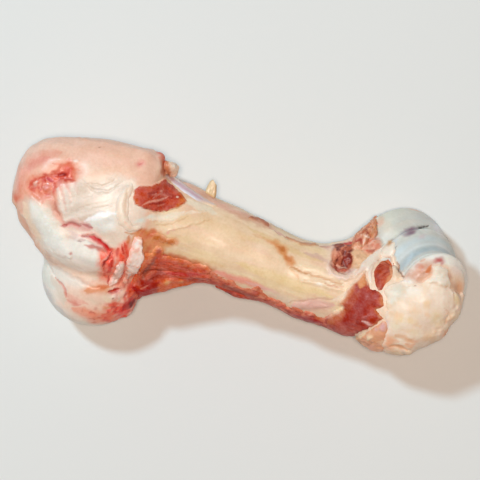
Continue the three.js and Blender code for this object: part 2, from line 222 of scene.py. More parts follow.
class Skin:
    """The vertices of a piece, in mm, while its relief and its colours are worked out. Shapes
    are laid on in plan, as the eye overhead sees them, and read through a little noise, so that
    no edge comes out straight."""

    def __init__(self, mesh, wander=0.9, seed=3):
        self.mesh = mesh
        self.edges = read(mesh.edges, "vertices", 2, np.int64)
        self.p = read(mesh.vertices, "co").astype(float) / MM - ORIGIN
        self.count = len(self.p)
        self.all = np.ones(self.count)
        self.place(wander, seed)
        self.colour = np.ones((self.count, 3))
        self.gore = np.zeros(self.count)
        self.wet = np.full(self.count, 0.5)
        self.fine = np.full(self.count, 0.5)
        self.rim_light = RIM_PAINTED_LIGHT

    def place(self, wander, seed):
        """Reads where the vertices lie now, and which of them face up."""
        self.settle()
        p = self.p
        nearer = (EYE_HEIGHT - VIEW_PLANE) / (EYE_HEIGHT - p[:, 2:])
        self.seen = PLAN_CENTRE + (p[:, :2] - PLAN_CENTRE) * nearer
        broad = [rough(p, BROAD_WAVE, seed), rough(p, BROAD_WAVE, seed + 7)]
        small = [noise(p, FINE_WAVE, seed + 13), noise(p, FINE_WAVE, seed + 17)]
        drift = np.stack(broad, axis=1) * BROAD_DRIFT + np.stack(small, axis=1) * FINE_DRIFT
        self.q = self.seen + drift * wander
        self.face_up()

    def face_up(self):
        """Works out which vertices the eye overhead can see."""
        self.up = smooth(-0.3, 0.1, self.n[:, 2])

    def settle(self):
        """Writes the vertices to the mesh and takes their normals."""
        self.mesh.vertices.foreach_set("co", ((self.p + ORIGIN) * MM).astype(np.float32).ravel())
        self.mesh.update()
        self.n = read(self.mesh.vertex_normals, "vector").astype(float)

    def averaged(self, values):
        """Each vertex's neighbours' mean."""
        a, b = self.edges.T
        degree = np.bincount(self.edges.ravel(), minlength=self.count)
        columns = values if values.ndim == 2 else values[:, None]
        count = self.count
        total = [np.bincount(a, c[b], count) + np.bincount(b, c[a], count) for c in columns.T]
        mean = np.stack(total, axis=1) / degree[:, None]
        return mean if values.ndim == 2 else mean[:, 0]

    def relax(self, turns, weight=1.0, grow=-1.02):
        """Smooths the shape without shrinking it."""
        weight = np.broadcast_to(weight, self.count)[:, None]
        for _ in range(turns):
            self.p += (self.averaged(self.p) - self.p) * PULL * weight
            self.p += (self.averaged(self.p) - self.p) * PULL * grow * weight

    def move(self, height):
        """Moves the vertices out along their normals."""
        self.p += self.n * height[:, None]

    def spot(self, x, y, long, wide, turn=0.0, soft=0.9):
        """An oval in plan."""
        c, s = math.cos(math.radians(turn)), math.sin(math.radians(turn))
        dx, dy = self.q[:, 0] - x, self.q[:, 1] - y
        reach = np.hypot((dx * c + dy * s) / long, (dy * c - dx * s) / wide)
        return smooth(1, 1 - soft, reach) * self.up

    def line(self, points, width, soft=0.8, taper=0.8):
        """A stroke in plan, thinner to its ends."""
        points = np.array(points, float)
        lengths = np.linalg.norm(np.diff(points, axis=0), axis=1)
        starts = np.concatenate([[0], np.cumsum(lengths)])
        least = np.full(self.count, 1e9)
        share = np.zeros(self.count)
        for a, b, start, length in zip(points, points[1:], starts, lengths):
            t = np.clip((self.q - a) @ (b - a) / length**2, 0, 1)
            reach = np.linalg.norm(self.q - a - t[:, None] * (b - a), axis=1)
            near = reach < least
            least[near] = reach[near]
            share[near] = ((start + t * length) / starts[-1])[near]
        width = width * (1 - taper * np.abs(2 * share - 1) ** 2.5)
        return smooth(1, 1 - soft, least / width) * self.up

    def depth_in(self, points, places=None):
        """Distance inside an outline in plan, less than 0 outside."""
        q = self.q if places is None else places
        points = np.array(points, float)
        least = np.full(self.count, 1e9)
        within = np.zeros(self.count, bool)
        for a, b in zip(points, np.roll(points, -1, axis=0)):
            run = b - a
            t = np.clip((q - a) @ run / (run @ run), 0, 1)
            least = np.minimum(least, np.linalg.norm(q - a - t[:, None] * run, axis=1))
            crosses = (a[1] > q[:, 1]) != (b[1] > q[:, 1])
            rise = run[1] if run[1] else 1e-9
            within ^= crosses & (q[:, 0] < a[0] + (q[:, 1] - a[1]) / rise * run[0])
        return np.where(within, least, -least)

    def area(self, points, soft=2.0):
        """The inside of an outline in plan."""
        return smooth(-soft / 2, soft / 2, self.depth_in(points)) * self.up

    def streaks(self, degrees, size, seed, stretch=6):
        """Fibrous noise that runs along a direction in plan."""
        return rough(drawn(self.p, degrees, stretch), size, seed)

    def tint(self, mask, code, strength=1.0):
        """Lays a colour over what is there."""
        share = (np.clip(mask, 0, 1) * strength)[:, None]
        self.colour += (np.array(linear(code)[:3]) - self.colour) * share

    def tint_area(self, points, soft, code, strength=1.0):
        """Colours the inside of an outline."""
        self.tint(self.area(points, soft), code, strength)

    def blotch(self, size, seed, low, high, code, strength):
        """Patches of a colour, of about the given size, where noise is over low. They are full
        where it is over high."""
        self.tint(smooth(low, high, rough(self.p, size, seed)), code, strength)

    def tint_where(self, mask, rows):
        """Colours on one mask, each where a value rises from low to high."""
        for low, high, value, code, strength in rows:
            self.tint(mask * smooth(low, high, value), code, strength)

    def tint_lines(self, rows):
        """Strokes of colour, one over the other."""
        for points, width, code, strength in rows:
            self.tint(self.line(points, width), code, strength)

    def tint_spots(self, rows):
        """Ovals of colour, one over the other."""
        for x, y, long, wide, turn, code, strength in rows:
            self.tint(self.spot(x, y, long, wide, turn), code, strength)

    def bleed(self, mask, amount=1.0):
        """Blood or raw flesh, which the material lays on with a ragged edge."""
        self.gore = np.maximum(self.gore, np.clip(mask, 0, 1) * amount)

    def bleed_lines(self, rows):
        for points, width, amount in rows:
            self.bleed(self.line(points, width), amount)

    def gloss(self, mask, wetness):
        self.wet += (wetness - self.wet) * np.clip(mask, 0, 1)

    def wrinkle(self, mask, amount):
        self.fine += (amount - self.fine) * np.clip(mask, 0, 1)

    def store(self):
        """Writes the colours with painted light on steep sides, and the other finishes as one more
        colour, to the mesh.
        """
        self.settle()
        steep = np.clip(1 - self.n[:, 2:], 0, 1) ** 1.5 * smooth(-0.15, 0.3, self.n[:, 2:])
        # painted light: steep sides, which face the lamps less, are made lighter
        clear = 1 + self.rim_light * steep * RIM_LIGHT_TINT
        own = np.clip(self.colour, 0, None) * PAINT_GAIN * clear
        own /= np.maximum(own.max(axis=1, keepdims=True), 1)  # keeps the hue of what is too bright
        finish = np.stack([self.gore, self.wet, self.fine], axis=1)
        for name, three in [("tissue", own), ("marks", finish)]:
            layer = self.mesh.attributes.new(name, "FLOAT_COLOR", "POINT")
            rows = np.concatenate([three, np.ones((self.count, 1))], axis=1)
            layer.data.foreach_set("color", rows.astype(np.float32).ravel())
        self.mesh.polygons.foreach_set("use_smooth", np.ones(len(self.mesh.polygons), bool))


def remeshed(node, grain):
    """A copy of a CAD node's mesh, merged and drawn again in even squares."""
    body = bmesh.new()
    body.from_mesh(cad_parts[node].data)
    bmesh.ops.remove_doubles(body, verts=body.verts, dist=1e-6)
    mesh = bpy.data.meshes.new(node + "_copy")
    body.to_mesh(mesh)
    body.free()
    thing = object_from(node + "_copy", mesh)
    net = thing.modifiers.new("net", "REMESH")
    net.mode = "VOXEL"
    net.voxel_size = grain * MM
    evaluated = thing.evaluated_get(bpy.context.evaluated_depsgraph_get())
    fine = bpy.data.meshes.new_from_object(evaluated)
    bpy.data.objects.remove(thing)
    fine.materials.clear()
    return fine


def refined(mesh, wanted):
    """Cuts the faces that are wanted in four."""
    body = bmesh.new()
    body.from_mesh(mesh)
    rims = {e for f, want in zip(body.faces, wanted) if want for e in f.edges}
    bmesh.ops.subdivide_edges(body, edges=list(rims), cuts=1, use_grid_fill=True)
    body.to_mesh(mesh)
    body.free()


# Rounds off the solid's facets, then draws the ball and the spool true.
bone = Skin(remeshed("humerus", BONE_GRAIN))
bone.relax(turns=30)
bone.settle()
refined(bone.mesh, read(bone.mesh.polygons, "normal")[:, 2] > 0.3)
bone = Skin(bone.mesh)
bone.relax(turns=6)
axle = (AXLE_HIGH - AXLE_LOW) / np.linalg.norm(AXLE_HIGH - AXLE_LOW)
steps = np.arange(-16, 50, AXLE_STEP)
edge = np.interp(steps, *SPOOL_EDGE.T)
bell = np.exp(-0.5 * (np.arange(-8, 9) * AXLE_STEP / EDGE_BLUR) ** 2)
edge = np.convolve(np.pad(edge, 8, "edge"), bell / bell.sum(), "valid")
along = (bone.p - AXLE_LOW) @ axle
spoke = bone.p - AXLE_LOW - along[:, None] * axle
out = np.linalg.norm(spoke, axis=1)
beyond = out - np.interp(along, steps, edge)
on_spool = smooth(4.0, 2.0, np.abs(beyond)) * smooth(-11, -8, along) * smooth(48, 46, along)
on_spool = bone.averaged(bone.averaged(on_spool))
bone.p -= spoke / np.maximum(out, 1)[:, None] * (beyond * on_spool)[:, None]
from_ball = bone.p - BALL_MIDDLE
reach = np.linalg.norm(from_ball, axis=1)
on_ball = smooth(3.0, 1.2, np.abs(reach - BALL_RADIUS)) * (from_ball[:, 2] > -24)
on_ball = bone.averaged(bone.averaged(on_ball))
bone.p += from_ball / reach[:, None] * ((BALL_RADIUS - reach) * on_ball)[:, None]
bone.relax(turns=2)
bone.place(wander=0.9, seed=3)
NECKLINE = [(-102, -14), (-97, -18), (-90, -21.6), (-80, -23.4), (-68, -24), (-58, -23)]
seam_side = bone.line(NECKLINE, 7, soft=0.7, taper=0.2)
bone.relax(turns=60, weight=seam_side, grow=0.0)  # the capsule runs softly onto the ball
bone.place(wander=0.9, seed=3)

# The shoulder end's relief: the torn hollow, the folds of the capsule and the slits cut in it.
WING = [
    (-104, 22.6), (-100, 26.6), (-97.4, 30), (-94.6, 31), (-92, 27), (-91, 23), (-96, 21.6),
    (-100, 20),
]
HOLLOW = [
    (-114, 16), (-112, 20.8), (-106, 22.6), (-99, 21), (-97, 16), (-99, 12.4), (-106, 11),
    (-112, 12.6),
]
SHEET = [
    (-97, 7), (-94, 20), (-84, 24), (-72, 27), (-64, 29), (-61, 25), (-67, 12), (-78, 3.4),
    (-90, 2),
]
SLIT = [(-91.6, -0.2), (-87.4, 1.2), (-82, 1.2)]
SLASH = [(-80.4, -4.2), (-75.4, -3.2), (-71.6, -4.8), (-67, -7.2), (-63, -9.8)]
SEAM = [(-98, -15), (-93, -21), (-88, -23.4), (-81, -26), (-72, -28.2), (-66, -28)]
BAND = [(-110, 11), (-105, 4), (-99, -3.6), (-92.6, -10.6), (-84, -15)]
TORN = [
    (-70, -10), (-66, -10), (-62, -6), (-59, -2.6), (-56, -1.6), (-53, -8), (-53, -18), (-55, -26),
    (-61, -25), (-66, -22.6), (-69.6, -17),
]
MOUTH = [(-61.6, -29), (-58.6, -28.4), (-55.6, -26.4)]


def beside(points, across):
    """The same stroke moved a little to its left."""
    points = np.array(points, float)
    run = np.gradient(points, axis=0)
    run /= np.linalg.norm(run, axis=1)[:, None]
    return points + np.stack([-run[:, 1], run[:, 0]], axis=1) * across


p = bone.p
bare = 1 - np.maximum(on_spool * smooth(46, 44, along), on_ball)  # not joint cartilage
bone.move(rough(p, 20, 21) * 0.7 * bare * smooth(-44, -56, p[:, 0]))
crumbs = rough(p, 2.2, 47)
folds = bone.streaks(28, 2.6, 31, 7)
shreds = bone.streaks(-72, 2.4, 33, 4)
bone.move((-0.9 + 0.9 * crumbs) * bone.area(WING, 3))
bone.move((-0.7 + 0.5 * crumbs) * bone.area(HOLLOW, 3))
for x, y, long, wide, turn, height in [
    (-109.8, 17.8, 2.4, 1.7, 40, 1.1),
    (-103, 16.8, 2.9, 2.3, 20, 1.2),
    (-103, 20.6, 3.0, 1.3, -20, 0.8),
    (-106.4, 14.4, 1.8, 1.4, 0, 0.7),
    (-97.6, 25, 3.2, 1.4, 18, -0.9),
    (-72, 7.4, 9, 4.4, 14, 0.8),
    (-92, 33, 2.2, 1.4, 10, 0.6),
    (-59, 39, 2.6, 1.8, 0, -0.4),
    (-63.6, -14, 2.4, 6, 6, 0.9),
    (-57.6, -31.8, 4, 2.4, 0, 0.7),
    (-47.6, -36, 5, 7, -10, 1.2),
    (-48.4, 44.8, 4, 4, 0, 1.3),
]:
    bone.move(height * bone.spot(x, y, long, wide, turn))
for points, width, height in [
    ([(-98, 19), (-95.6, 13), (-92.6, 6)], 0.9, 0.3),
    ([(-95, 20.4), (-92, 16), (-90, 11)], 0.8, 0.25),
    ([(-99.6, 13), (-96.4, 7), (-92.4, 1)], 1.6, -0.5),
    ([(-88, 25), (-80, 20.6), (-72, 21.6), (-66, 27)], 0.9, -0.35),
    ([(-84, 24), (-76, 23.6), (-69, 28)], 0.8, -0.25),
    (SLIT, 1.5, -0.35),
    ([(-81, 1.8), (-78.6, 1.9), (-76, 1.2)], 0.9, -0.3),
    (SLASH, 1.8, -0.7),
    ([(-63.4, -9.6), (-65, -13), (-66.6, -16), (-66.4, -19.6)], 0.8, -0.9),
    ([(-63.6, -10), (-62.6, -13), (-62.8, -16)], 0.7, -0.7),
    (SEAM, 1.8, -0.25),
    ([(-96, -21), (-92, -25), (-87.6, -29), (-84, -32), (-82, -37)], 0.9, -0.35),
    (MOUTH, 1.4, -1.6),
    (beside(SLIT, 1.9), 1.7, 0.35),
    (beside(SLASH, -1.9), 1.8, 0.5),
    (beside(SLASH, 1.9), 1.6, 0.35),
    (BAND, 8, 0.9),
    ([(-115, 3), (-109, -5), (-102, -12)], 2.6, 0.3),
    ([(-121, 5), (-117, -2), (-111, -9), (-104, -15)], 6, -2.2),
    ([(-96, 47), (-84, 49.4), (-70, 49.8), (-54, 48)], 5, -1.3),
    ([(12, 22), (22, 19.6), (34, 18.6), (46, 19)], 4, -1.2),
]:
    bone.move(height * bone.line(points, width))
bone.move(0.16 * folds * bone.area(SHEET, 6))
bone.move((0.3 + 0.9 * shreds) * bone.area(TORN, 4))
LOWER_RAW = [
    (-57, -24), (-50, -22), (-44, -28), (-46, -40), (-54, -46), (-64, -46), (-72, -42), (-66, -39),
    (-57, -35),
]
bone.move(0.5 * rough(p, 2.8, 35) * bone.area(LOWER_RAW, 5))

# The shaft's: long low ridges in the periosteum, and scraps that the knife left on its edges.
shaft = smooth(-48, -38, p[:, 0]) * smooth(66, 56, p[:, 0])
grainy = bone.streaks(-8, 3.0, 41, 9)
bone.move(0.18 * grainy * shaft)
scrap = 1 + 0.7 * rough(p, 2.2, 43)
for points, width, height in [
    ([(-48, 11.6), (-38, 14.4), (-30, 19.4), (-20, 22.6)], 1.3, 0.5),
    ([(-38, 8.4), (-28, 13), (-18, 18)], 1.2, 0.3),
    ([(30, 2.4), (40, 0.8), (50, 0.2), (58, -0.6)], 0.9, -0.5),
    ([(33, 4.6), (44, 4), (54, 1.6)], 2.2, 0.35),
    ([(34, -3), (46, -2.6), (57, -3.6)], 1.6, 0.45),
    ([(29, -16), (37, -12.8), (45, -10.6), (54, -8.6)], 0.9, -0.2),
    ([(31, -17), (40, -14.6), (50, -13)], 2.4, 0.5),
    ([(1, 22.6), (6, 23.6), (12, 21.4)], 1.5, 0.8),
    ([(22, 18), (29, 16.4), (40, 16.8)], 1.5, 0.9),
    ([(46, 8), (50, 3.6), (57, 2.6), (63, 5)], 1.3, 0.8),
]:
    bone.move(height * bone.line(points, width) * scrap)

# The elbow's: the crumbled pit, the column beside the spool, and the cuts in the cartilage.
PIT = [
    (47.4, 9), (47, 14), (48.6, 19), (53, 20.4), (58, 20), (57, 16.4), (58.6, 12), (58.6, 7.6),
    (55.4, 4.8), (50.6, 6.2),
]
TAN = [(56, 20), (57.4, 12), (59.4, 7), (62, 8), (64.4, 13), (67.4, 18), (66, 19.6), (61, 20.4)]
SCRAPS = [
    (56, 21), (58, 27.6), (63, 31), (65, 39), (67.4, 38), (67.4, 29), (71, 23), (68, 18),
    (64, 17.4), (59, 20),
]
CREASE = [(80.4, 17.8), (83, 13.4), (86, 9.6)]  # between the column and the spool
BEHIND_COLUMN = [(85, 9), (88, 16), (96, 20), (99, 18), (98, 12), (92, 9)]
bone.move((0.1 + 1.3 * crumbs + 0.5 * rough(p, 1.3, 46, 2)) * bone.area(PIT, 4))
bone.move(0.6 * rough(p, 3.0, 49) * bone.area(TAN, 3))
bone.move((0.3 + 1.0 * rough(p, 3.4, 53) + 0.5 * crumbs) * bone.area(SCRAPS, 3))
bone.move(1.2 * bone.line([(78.6, 19), (80.6, 13), (82.4, 8)], 2.4))
bone.move(-1.0 * bone.line(CREASE, 0.9))
bone.move(-0.8 * bone.line([(87.6, 36.4), (90, 37), (92.8, 38.4)], 0.8, 0.9))
bone.move(0.5 * rough(p, 3, 51) * bone.area(BEHIND_COLUMN, 3))
bone.settle()

# Its colours, as they look in the lamp's light. Cream and peach first, then place by place.
PEACH = "#ecc1a9"
x, y = bone.p[:, 0], bone.p[:, 1]
bone.tint(bone.all, "#ecd0ad")
bone.tint(smooth(-40, -54, x + 3 * noise(p, 9, 61)), PEACH)
bone.tint(smooth(58, 72, x + 3 * noise(p, 9, 62)), "#eed4ba")
bone.blotch(14, 63, 0.0, 0.9, "#f1dcbf", 0.5)
bone.blotch(10, 64, 0.1, 0.9, "#e5b596", 0.4)
bone.blotch(17, 65, 0.2, 0.9, "#dfa392", 0.35)
under = 1 - bone.up
bone.tint(smooth(0.0, 0.7, rough(p, 12, 66)) * under, "#dd9a84", 0.7)
bone.bleed(smooth(0.2, 0.8, rough(drawn(p, 0, 3), 8, 67)) * under * shaft, 0.5)

# Over the tubercle.
TUBERCLE = [
    (-122, 34), (-108, 50), (-60, 54), (-42, 50), (-45, 34), (-60, 28), (-78, 26), (-90, 31),
    (-106, 24), (-113, 12), (-122, 6),
]
bone.tint_area(TUBERCLE, 8, PEACH, 0.95)
bone.tint_lines([
    ([(-120, 18), (-115, 26), (-108, 32), (-100, 36)], 6, "#e7a08c", 0.6),
    ([(-117, 22), (-112, 27.6), (-105, 32.6)], 3, "#e08c7c", 0.55),
    ([(-117, 25), (-116.6, 16), (-115, 9)], 5.6, "#f8b29c", 0.85),
    ([(-114, 11), (-106, 9.6), (-99, 10)], 3.4, "#ecb298", 0.7),
    ([(-119, 31), (-110, 37), (-98, 43)], 3, "#f0c9b4", 0.6),
    ([(-97, 45), (-84, 47), (-68, 47.6)], 2.6, "#e6b295", 0.6),
    ([(-78, 40), (-66, 42), (-54, 40)], 4, "#f0c8ae", 0.5),
    ([(-80, 31), (-70, 33), (-58, 33)], 4, "#ecc6aa", 0.6),
])
bone.tint_spots([
    (-84, 31, 14, 5, -4, "#eccdb4", 0.7),
    (-100, 40, 12, 3, 22, "#efc6ae", 0.6),
    (-118, 8.6, 3.8, 4.8, 20, "#e0643c", 0.95),
    (-117.5, 14, 3.6, 6, 10, "#e8866a", 0.8),
    (-59, 39, 4.4, 3, 10, "#e58d84", 0.7),
    (-58.6, 39, 1.6, 0.8, 10, "#cf5a55", 0.6),
    (-81.6, 42.4, 1.3, 0.9, 0, "#b37a5c", 0.75),
    # painted highlight: a white glint on the small raised gland
    (-92, 33, 2.2, 1.5, 10, "#f9efe6", 0.95),
    (-49, 38, 3, 6, 20, "#f0cdb4", 0.7),
])

# The capsule, the milky band where the arm's tendon ran, and the sheet of fibres.
CAPSULE = [
    (-98, 20), (-90, 25), (-78, 28), (-70, 31), (-60, 30), (-52, 22), (-50, 4), (-55, -1),
    (-62, -6), (-70, -7), (-68, -25), (-84, -25), (-98, -17), (-112, -2), (-113, 10), (-104, 11),
]
bone.tint_area(CAPSULE, 4, "#ecd9c6")
bone.tint(bone.spot(-80, 26, 16, 4.6, 4), "#f0d6bd", 0.7)
bone.tint_area(SHEET, 5, "#e0d0c0", 0.8)
bone.tint_where(bone.area(SHEET, 5), [
    (0.0, 0.4, folds, "#d3bda7", 0.5),
    (0.0, 0.4, -folds, "#eee2d4", 0.75),
])
bone.tint(bone.line(BAND, 8.4), "#f1f2e8", 0.95)
FACE = [(-98, -6), (-88, -8), (-80, -3), (-70, -7), (-69, -18), (-80, -21), (-92, -17), (-99, -12)]
bone.tint_area(FACE, 6, "#f1f0e7", 0.85)
bone.tint_lines([
    ([(-120, 7), (-114, -3), (-107, -11), (-98, -19)], 4.4, "#f0b08c", 0.9),
    ([(-114, 7), (-108, -3), (-102, -10)], 2.8, "#f6dabd", 0.7),
    ([(-104, 10), (-98, 5), (-93, -1)], 2.2, "#ecdccb", 0.6),
    ([(-96, -13.4), (-86, -17), (-76, -19.4), (-69, -18.4)], 4.4, "#fbf1e6", 0.9),
    # painted shade in the creases of the sheet, in thin darker lines
    ([(-90, 25), (-84, 22), (-78, 20)], 0.9, "#d6bea6", 0.5),
    ([(-78, 20), (-72, 21.4), (-68, 25), (-65, 28.6)], 0.9, "#d4bba2", 0.5),
    ([(-83, 24.6), (-76, 24), (-69, 29)], 0.8, "#dac3ac", 0.5),
    ([(-84, 15), (-79, 19), (-73, 20)], 0.8, "#d4c0aa", 0.5),
    ([(-86, 9), (-79, 14), (-70, 17)], 0.8, "#cfbaa4", 0.5),
    ([(-80, 10.4), (-75, 13), (-68, 14.6)], 0.8, "#cdb9a3", 0.5),
    ([(-66, 27), (-62, 28.6), (-58, 27)], 1.6, "#f7e9d8", 0.8),
    ([(-96, -18.4), (-88, -21.6), (-78, -23.6), (-68, -23)], 2.6, "#f9dbc4", 0.85),
    ([(-94, -15), (-84, -19), (-76, -20.6)], 2.2, "#eee0d0", 0.7),
    ([(-90, -25.2), (-80, -28.8), (-72, -30)], 2, "#f0d4bc", 0.8),
    # painted shade in the crease where the capsule ends on the ball
    (SEAM, 1.6, "#dcb8a2", 0.5),
])
# Painted highlight: a white streak where the wet sheet shines, on a pale greenish-white bed.
gleam = bone.line([(-81, 3.6), (-76, 7), (-71, 10), (-66, 11.4)], 2.4)
GLEAM_BED = [(-80, 2.6), (-75, 8), (-66, 12), (-64, 3), (-70, 0), (-76, 1.6)]
bone.tint_area(GLEAM_BED, 4, "#eef0e8", 0.85)
bone.tint(gleam, "#fcfcfa", 0.95)
bone.tint(bone.spot(-61, 0, 5, 3, 0), "#f0dfca", 0.6)
# Painted highlights: small white glints on the wet band.
GLINTS = [(-101, 2.6, 1.6), (-99.6, -1, 2.0), (-98, -4, 1.4), (-97, 2, 1.2), (-95, -6.4, 1.2)]
for gx, gy, size in GLINTS:
    bone.tint(bone.spot(gx, gy, size, size * 0.7, 40) * smooth(-0.2, 0.4, crumbs), "#fdfdfb", 0.9)

# The ball.
COLLAR = [(-101, -14), (-93, -21), (-81, -26), (-72, -28)]  # where the capsule ends on it
BALL = COLLAR + [(-60, -26), (-45, -22), (-44, -44), (-60, -50), (-80, -48)]
BALL += [(-96, -36), (-103, -20)]
ABOVE_BALL = COLLAR + [(-60, -24), (-50, -20), (-50, 10), (-101, 10)]
rim_side = smooth(6, 0, bone.depth_in(BALL))
ball = on_ball * smooth(-6, -14, y + 0.35 * (x + 76)) * smooth(2.5, -2.5, bone.depth_in(ABOVE_BALL))
bone.tint(ball, "#f3e9dc")
low_ball = on_ball * smooth(-32, -44, y)  # the light from the table reaches it here
SPILL = 0.14  # how much paler that light makes it
bone.tint(ball * rim_side * smooth(-64, -84, x), "#d3d3ca", 0.7)
FLUSH = [(-84, -30), (-70, -31), (-56, -32), (-48, -38), (-58, -47), (-76, -46), (-86, -40)]
bone.tint_area(FLUSH, 8, "#f3d2bc", 0.9)
bone.tint_lines([
    ([(-97, -20), (-95, -27), (-89, -34)], 3.6, "#e6e8dc", 0.8),
    ([(-99, -19), (-97, -30), (-88, -41), (-78, -47)], 1.7, "#cdcac8", 0.6),
    ([(-92, -27), (-86, -33), (-82, -40)], 3.4, "#ddd3c2", 0.6),
    ([(-78, -46.6), (-68, -48), (-58, -46.6)], 1.3, "#efe2d2", 0.8),
])
bone.tint_spots([
    (-68, -36, 5, 2, 0, "#f0dcc8", 0.6),
    (-51.6, 5.2, 2.8, 1.6, 20, "#c9905f", 0.7),
])

# Raw tissue: in the hollow, along the slits, in the torn capsule, and low on the ball.
RAW = "#fc6148"
HALO = [
    (-117, 11), (-115, 21), (-108, 24.4), (-103, 29), (-96, 33.4), (-90, 32), (-87.6, 26),
    (-90, 21), (-96, 17), (-96.6, 9), (-104, 8.4), (-112, 9.6),
]
bone.tint_area(HALO, 7, "#efac90", 0.85)
bone.tint(bone.spot(-96.4, 27.4, 9, 5.4, 30), "#e68a6c", 0.8)
BELOW_SEAM = [(-75, -32), (-66, -32), (-60, -29.6), (-59.6, -25), (-67, -25.6), (-73, -28.6)]
bone.tint_area(BELOW_SEAM, 5, "#ebaa84", 0.85)
bone.tint_area(HOLLOW, 5.4, "#e88a70", 0.95)
bone.tint(bone.area(HOLLOW, 6) * smooth(0.1, 0.5, -crumbs), "#f0b09a", 0.7)
bone.tint(bone.area(HOLLOW, 3.6) * smooth(0.0, 0.5, rough(p, 2.2, 60)), "#cf4a38", 0.8)
bone.tint_area(WING, 6.4, "#e8654a", 0.95)
bone.tint(bone.area(WING, 4.4) * smooth(0.0, 0.5, rough(p, 2.4, 61)), "#c23a2a", 0.8)
bone.tint_spots([
    (-97.6, 25.4, 6.5, 2.4, 14, "#c8402e", 0.85),
    (-97.4, 25.2, 3.6, 1.5, 14, "#a01c16", 0.95),
    (-96.2, 25.4, 1.6, 1.1, 10, "#7c1412", 0.8),
    (-100.6, 26, 4.4, 1.8, 18, "#d6604a", 0.7),
    (-93.2, 22.8, 3.4, 1.2, -20, "#b83a28", 0.85),
    (-94.4, 28, 3.0, 2.4, 50, "#d5492e", 0.85),
    (-95.2, 22.2, 2.6, 1.1, -40, "#c4402c", 0.8),
    (-89.6, 27.4, 2.6, 1.2, 10, "#d89a86", 0.6),
    (-102.8, 21.4, 3.4, 1.6, -16, "#c4485a", 0.85),
    (-106, 20, 2.0, 1.6, 20, "#c8382a", 0.85),
    (-97.6, 20.4, 3, 2.4, 0, "#e59a94", 0.6),
    (-104, 12, 6, 2.2, 4, "#e3907a", 0.7),
    (-109.8, 17.2, 2.3, 1.5, 50, "#efbfae", 0.85),
    (-109.6, 18.6, 1.0, 0.6, 20, "#fdf0ea", 0.9),
    (-103.2, 17.2, 2.4, 1.9, 30, "#eba8a2", 0.85),
    (-101.6, 14.6, 1.6, 1.2, 0, "#e89a8a", 0.7),
    (-106.6, 16, 1.2, 1.8, 0, "#e59a84", 0.7),
    (-103.2, 19, 1.3, 0.7, 10, "#fdf0ee", 0.9),
    (-105.4, 16.8, 1.0, 0.7, 60, "#f3cdc2", 0.8),
])
bone.tint_lines([
    ([(-112.6, 15), (-111.8, 18.4), (-109.6, 20.4)], 1.1, "#cf4a36", 0.7),
    ([(-108.4, 20.6), (-105.6, 21.6), (-104.6, 19)], 1.5, "#c83c2c", 0.85),
    ([(-112.4, 14.6), (-109.4, 13.2)], 1.1, "#d4563c", 0.75),
    ([(-106.4, 19.6), (-106, 16.4), (-106.6, 14)], 0.9, "#cf5140", 0.75),
    ([(-100.6, 20.6), (-99.4, 16.4), (-99.6, 12.6)], 1.3, "#d0503a", 0.8),
    ([(-104.4, 13.8), (-101.4, 14), (-99.4, 15.4)], 0.9, "#cf5844", 0.8),
    ([(-101, 15), (-98.8, 10.4), (-95.6, 5), (-91.4, 0)], 3.2, "#e3a38e", 0.85),
    ([(-98.4, 10.6), (-96.4, 7), (-94.4, 4)], 1.1, "#bb6e5a", 0.65),
    ([(-92.6, -0.8), (-87, 1.4), (-81, 1.4), (-76, 1)], 3.8, "#e4a8a0", 0.75),
    (SLIT, 1.5, "#c9706a", 0.75),
    ([(-92, -0.5), (-89.4, -0.1)], 1.4, "#b0443a", 0.8),
    ([(-81.6, 1.8), (-78.6, 2.2), (-75.6, 1.2)], 1.2, "#c46a6a", 0.7),
    # painted shade below the slit's raised lip
    ([(-89, -2.4), (-84, -4.6), (-79, -6.6)], 2.6, "#d9bdb4", 0.7),
    ([(-82, -4), (-75, -3), (-70, -5.4), (-64, -9.4)], 4.2, "#e8a698", 0.75),
    ([(-81, -4.1), (-77, -3.6), (-73, -3.6)], 0.9, "#9c3a40", 0.8),
    ([(-77, -3.2), (-72, -4.4), (-67.6, -6.6), (-63.4, -9.4)], 2.0, "#cc2a30", 0.95),
    ([(-71, -5.4), (-66.6, -7.2), (-63, -8.8), (-60.6, -8.4)], 1.8, "#cf2a28", 0.9),
    ([(-78, -8.6), (-72, -8.6), (-65, -10)], 1.9, "#c9685c", 0.8),
    ([(-59.4, 2.4), (-56, 2.4), (-52.4, 4.2), (-50, 6.4)], 1.2, "#cc8c5e", 0.85),
])
bone.tint_area(TORN, 4.4, "#f98e76", 0.95)
bone.tint(bone.area(TORN, 4.4) * smooth(-0.1, 0.4, shreds), RAW, 0.9)
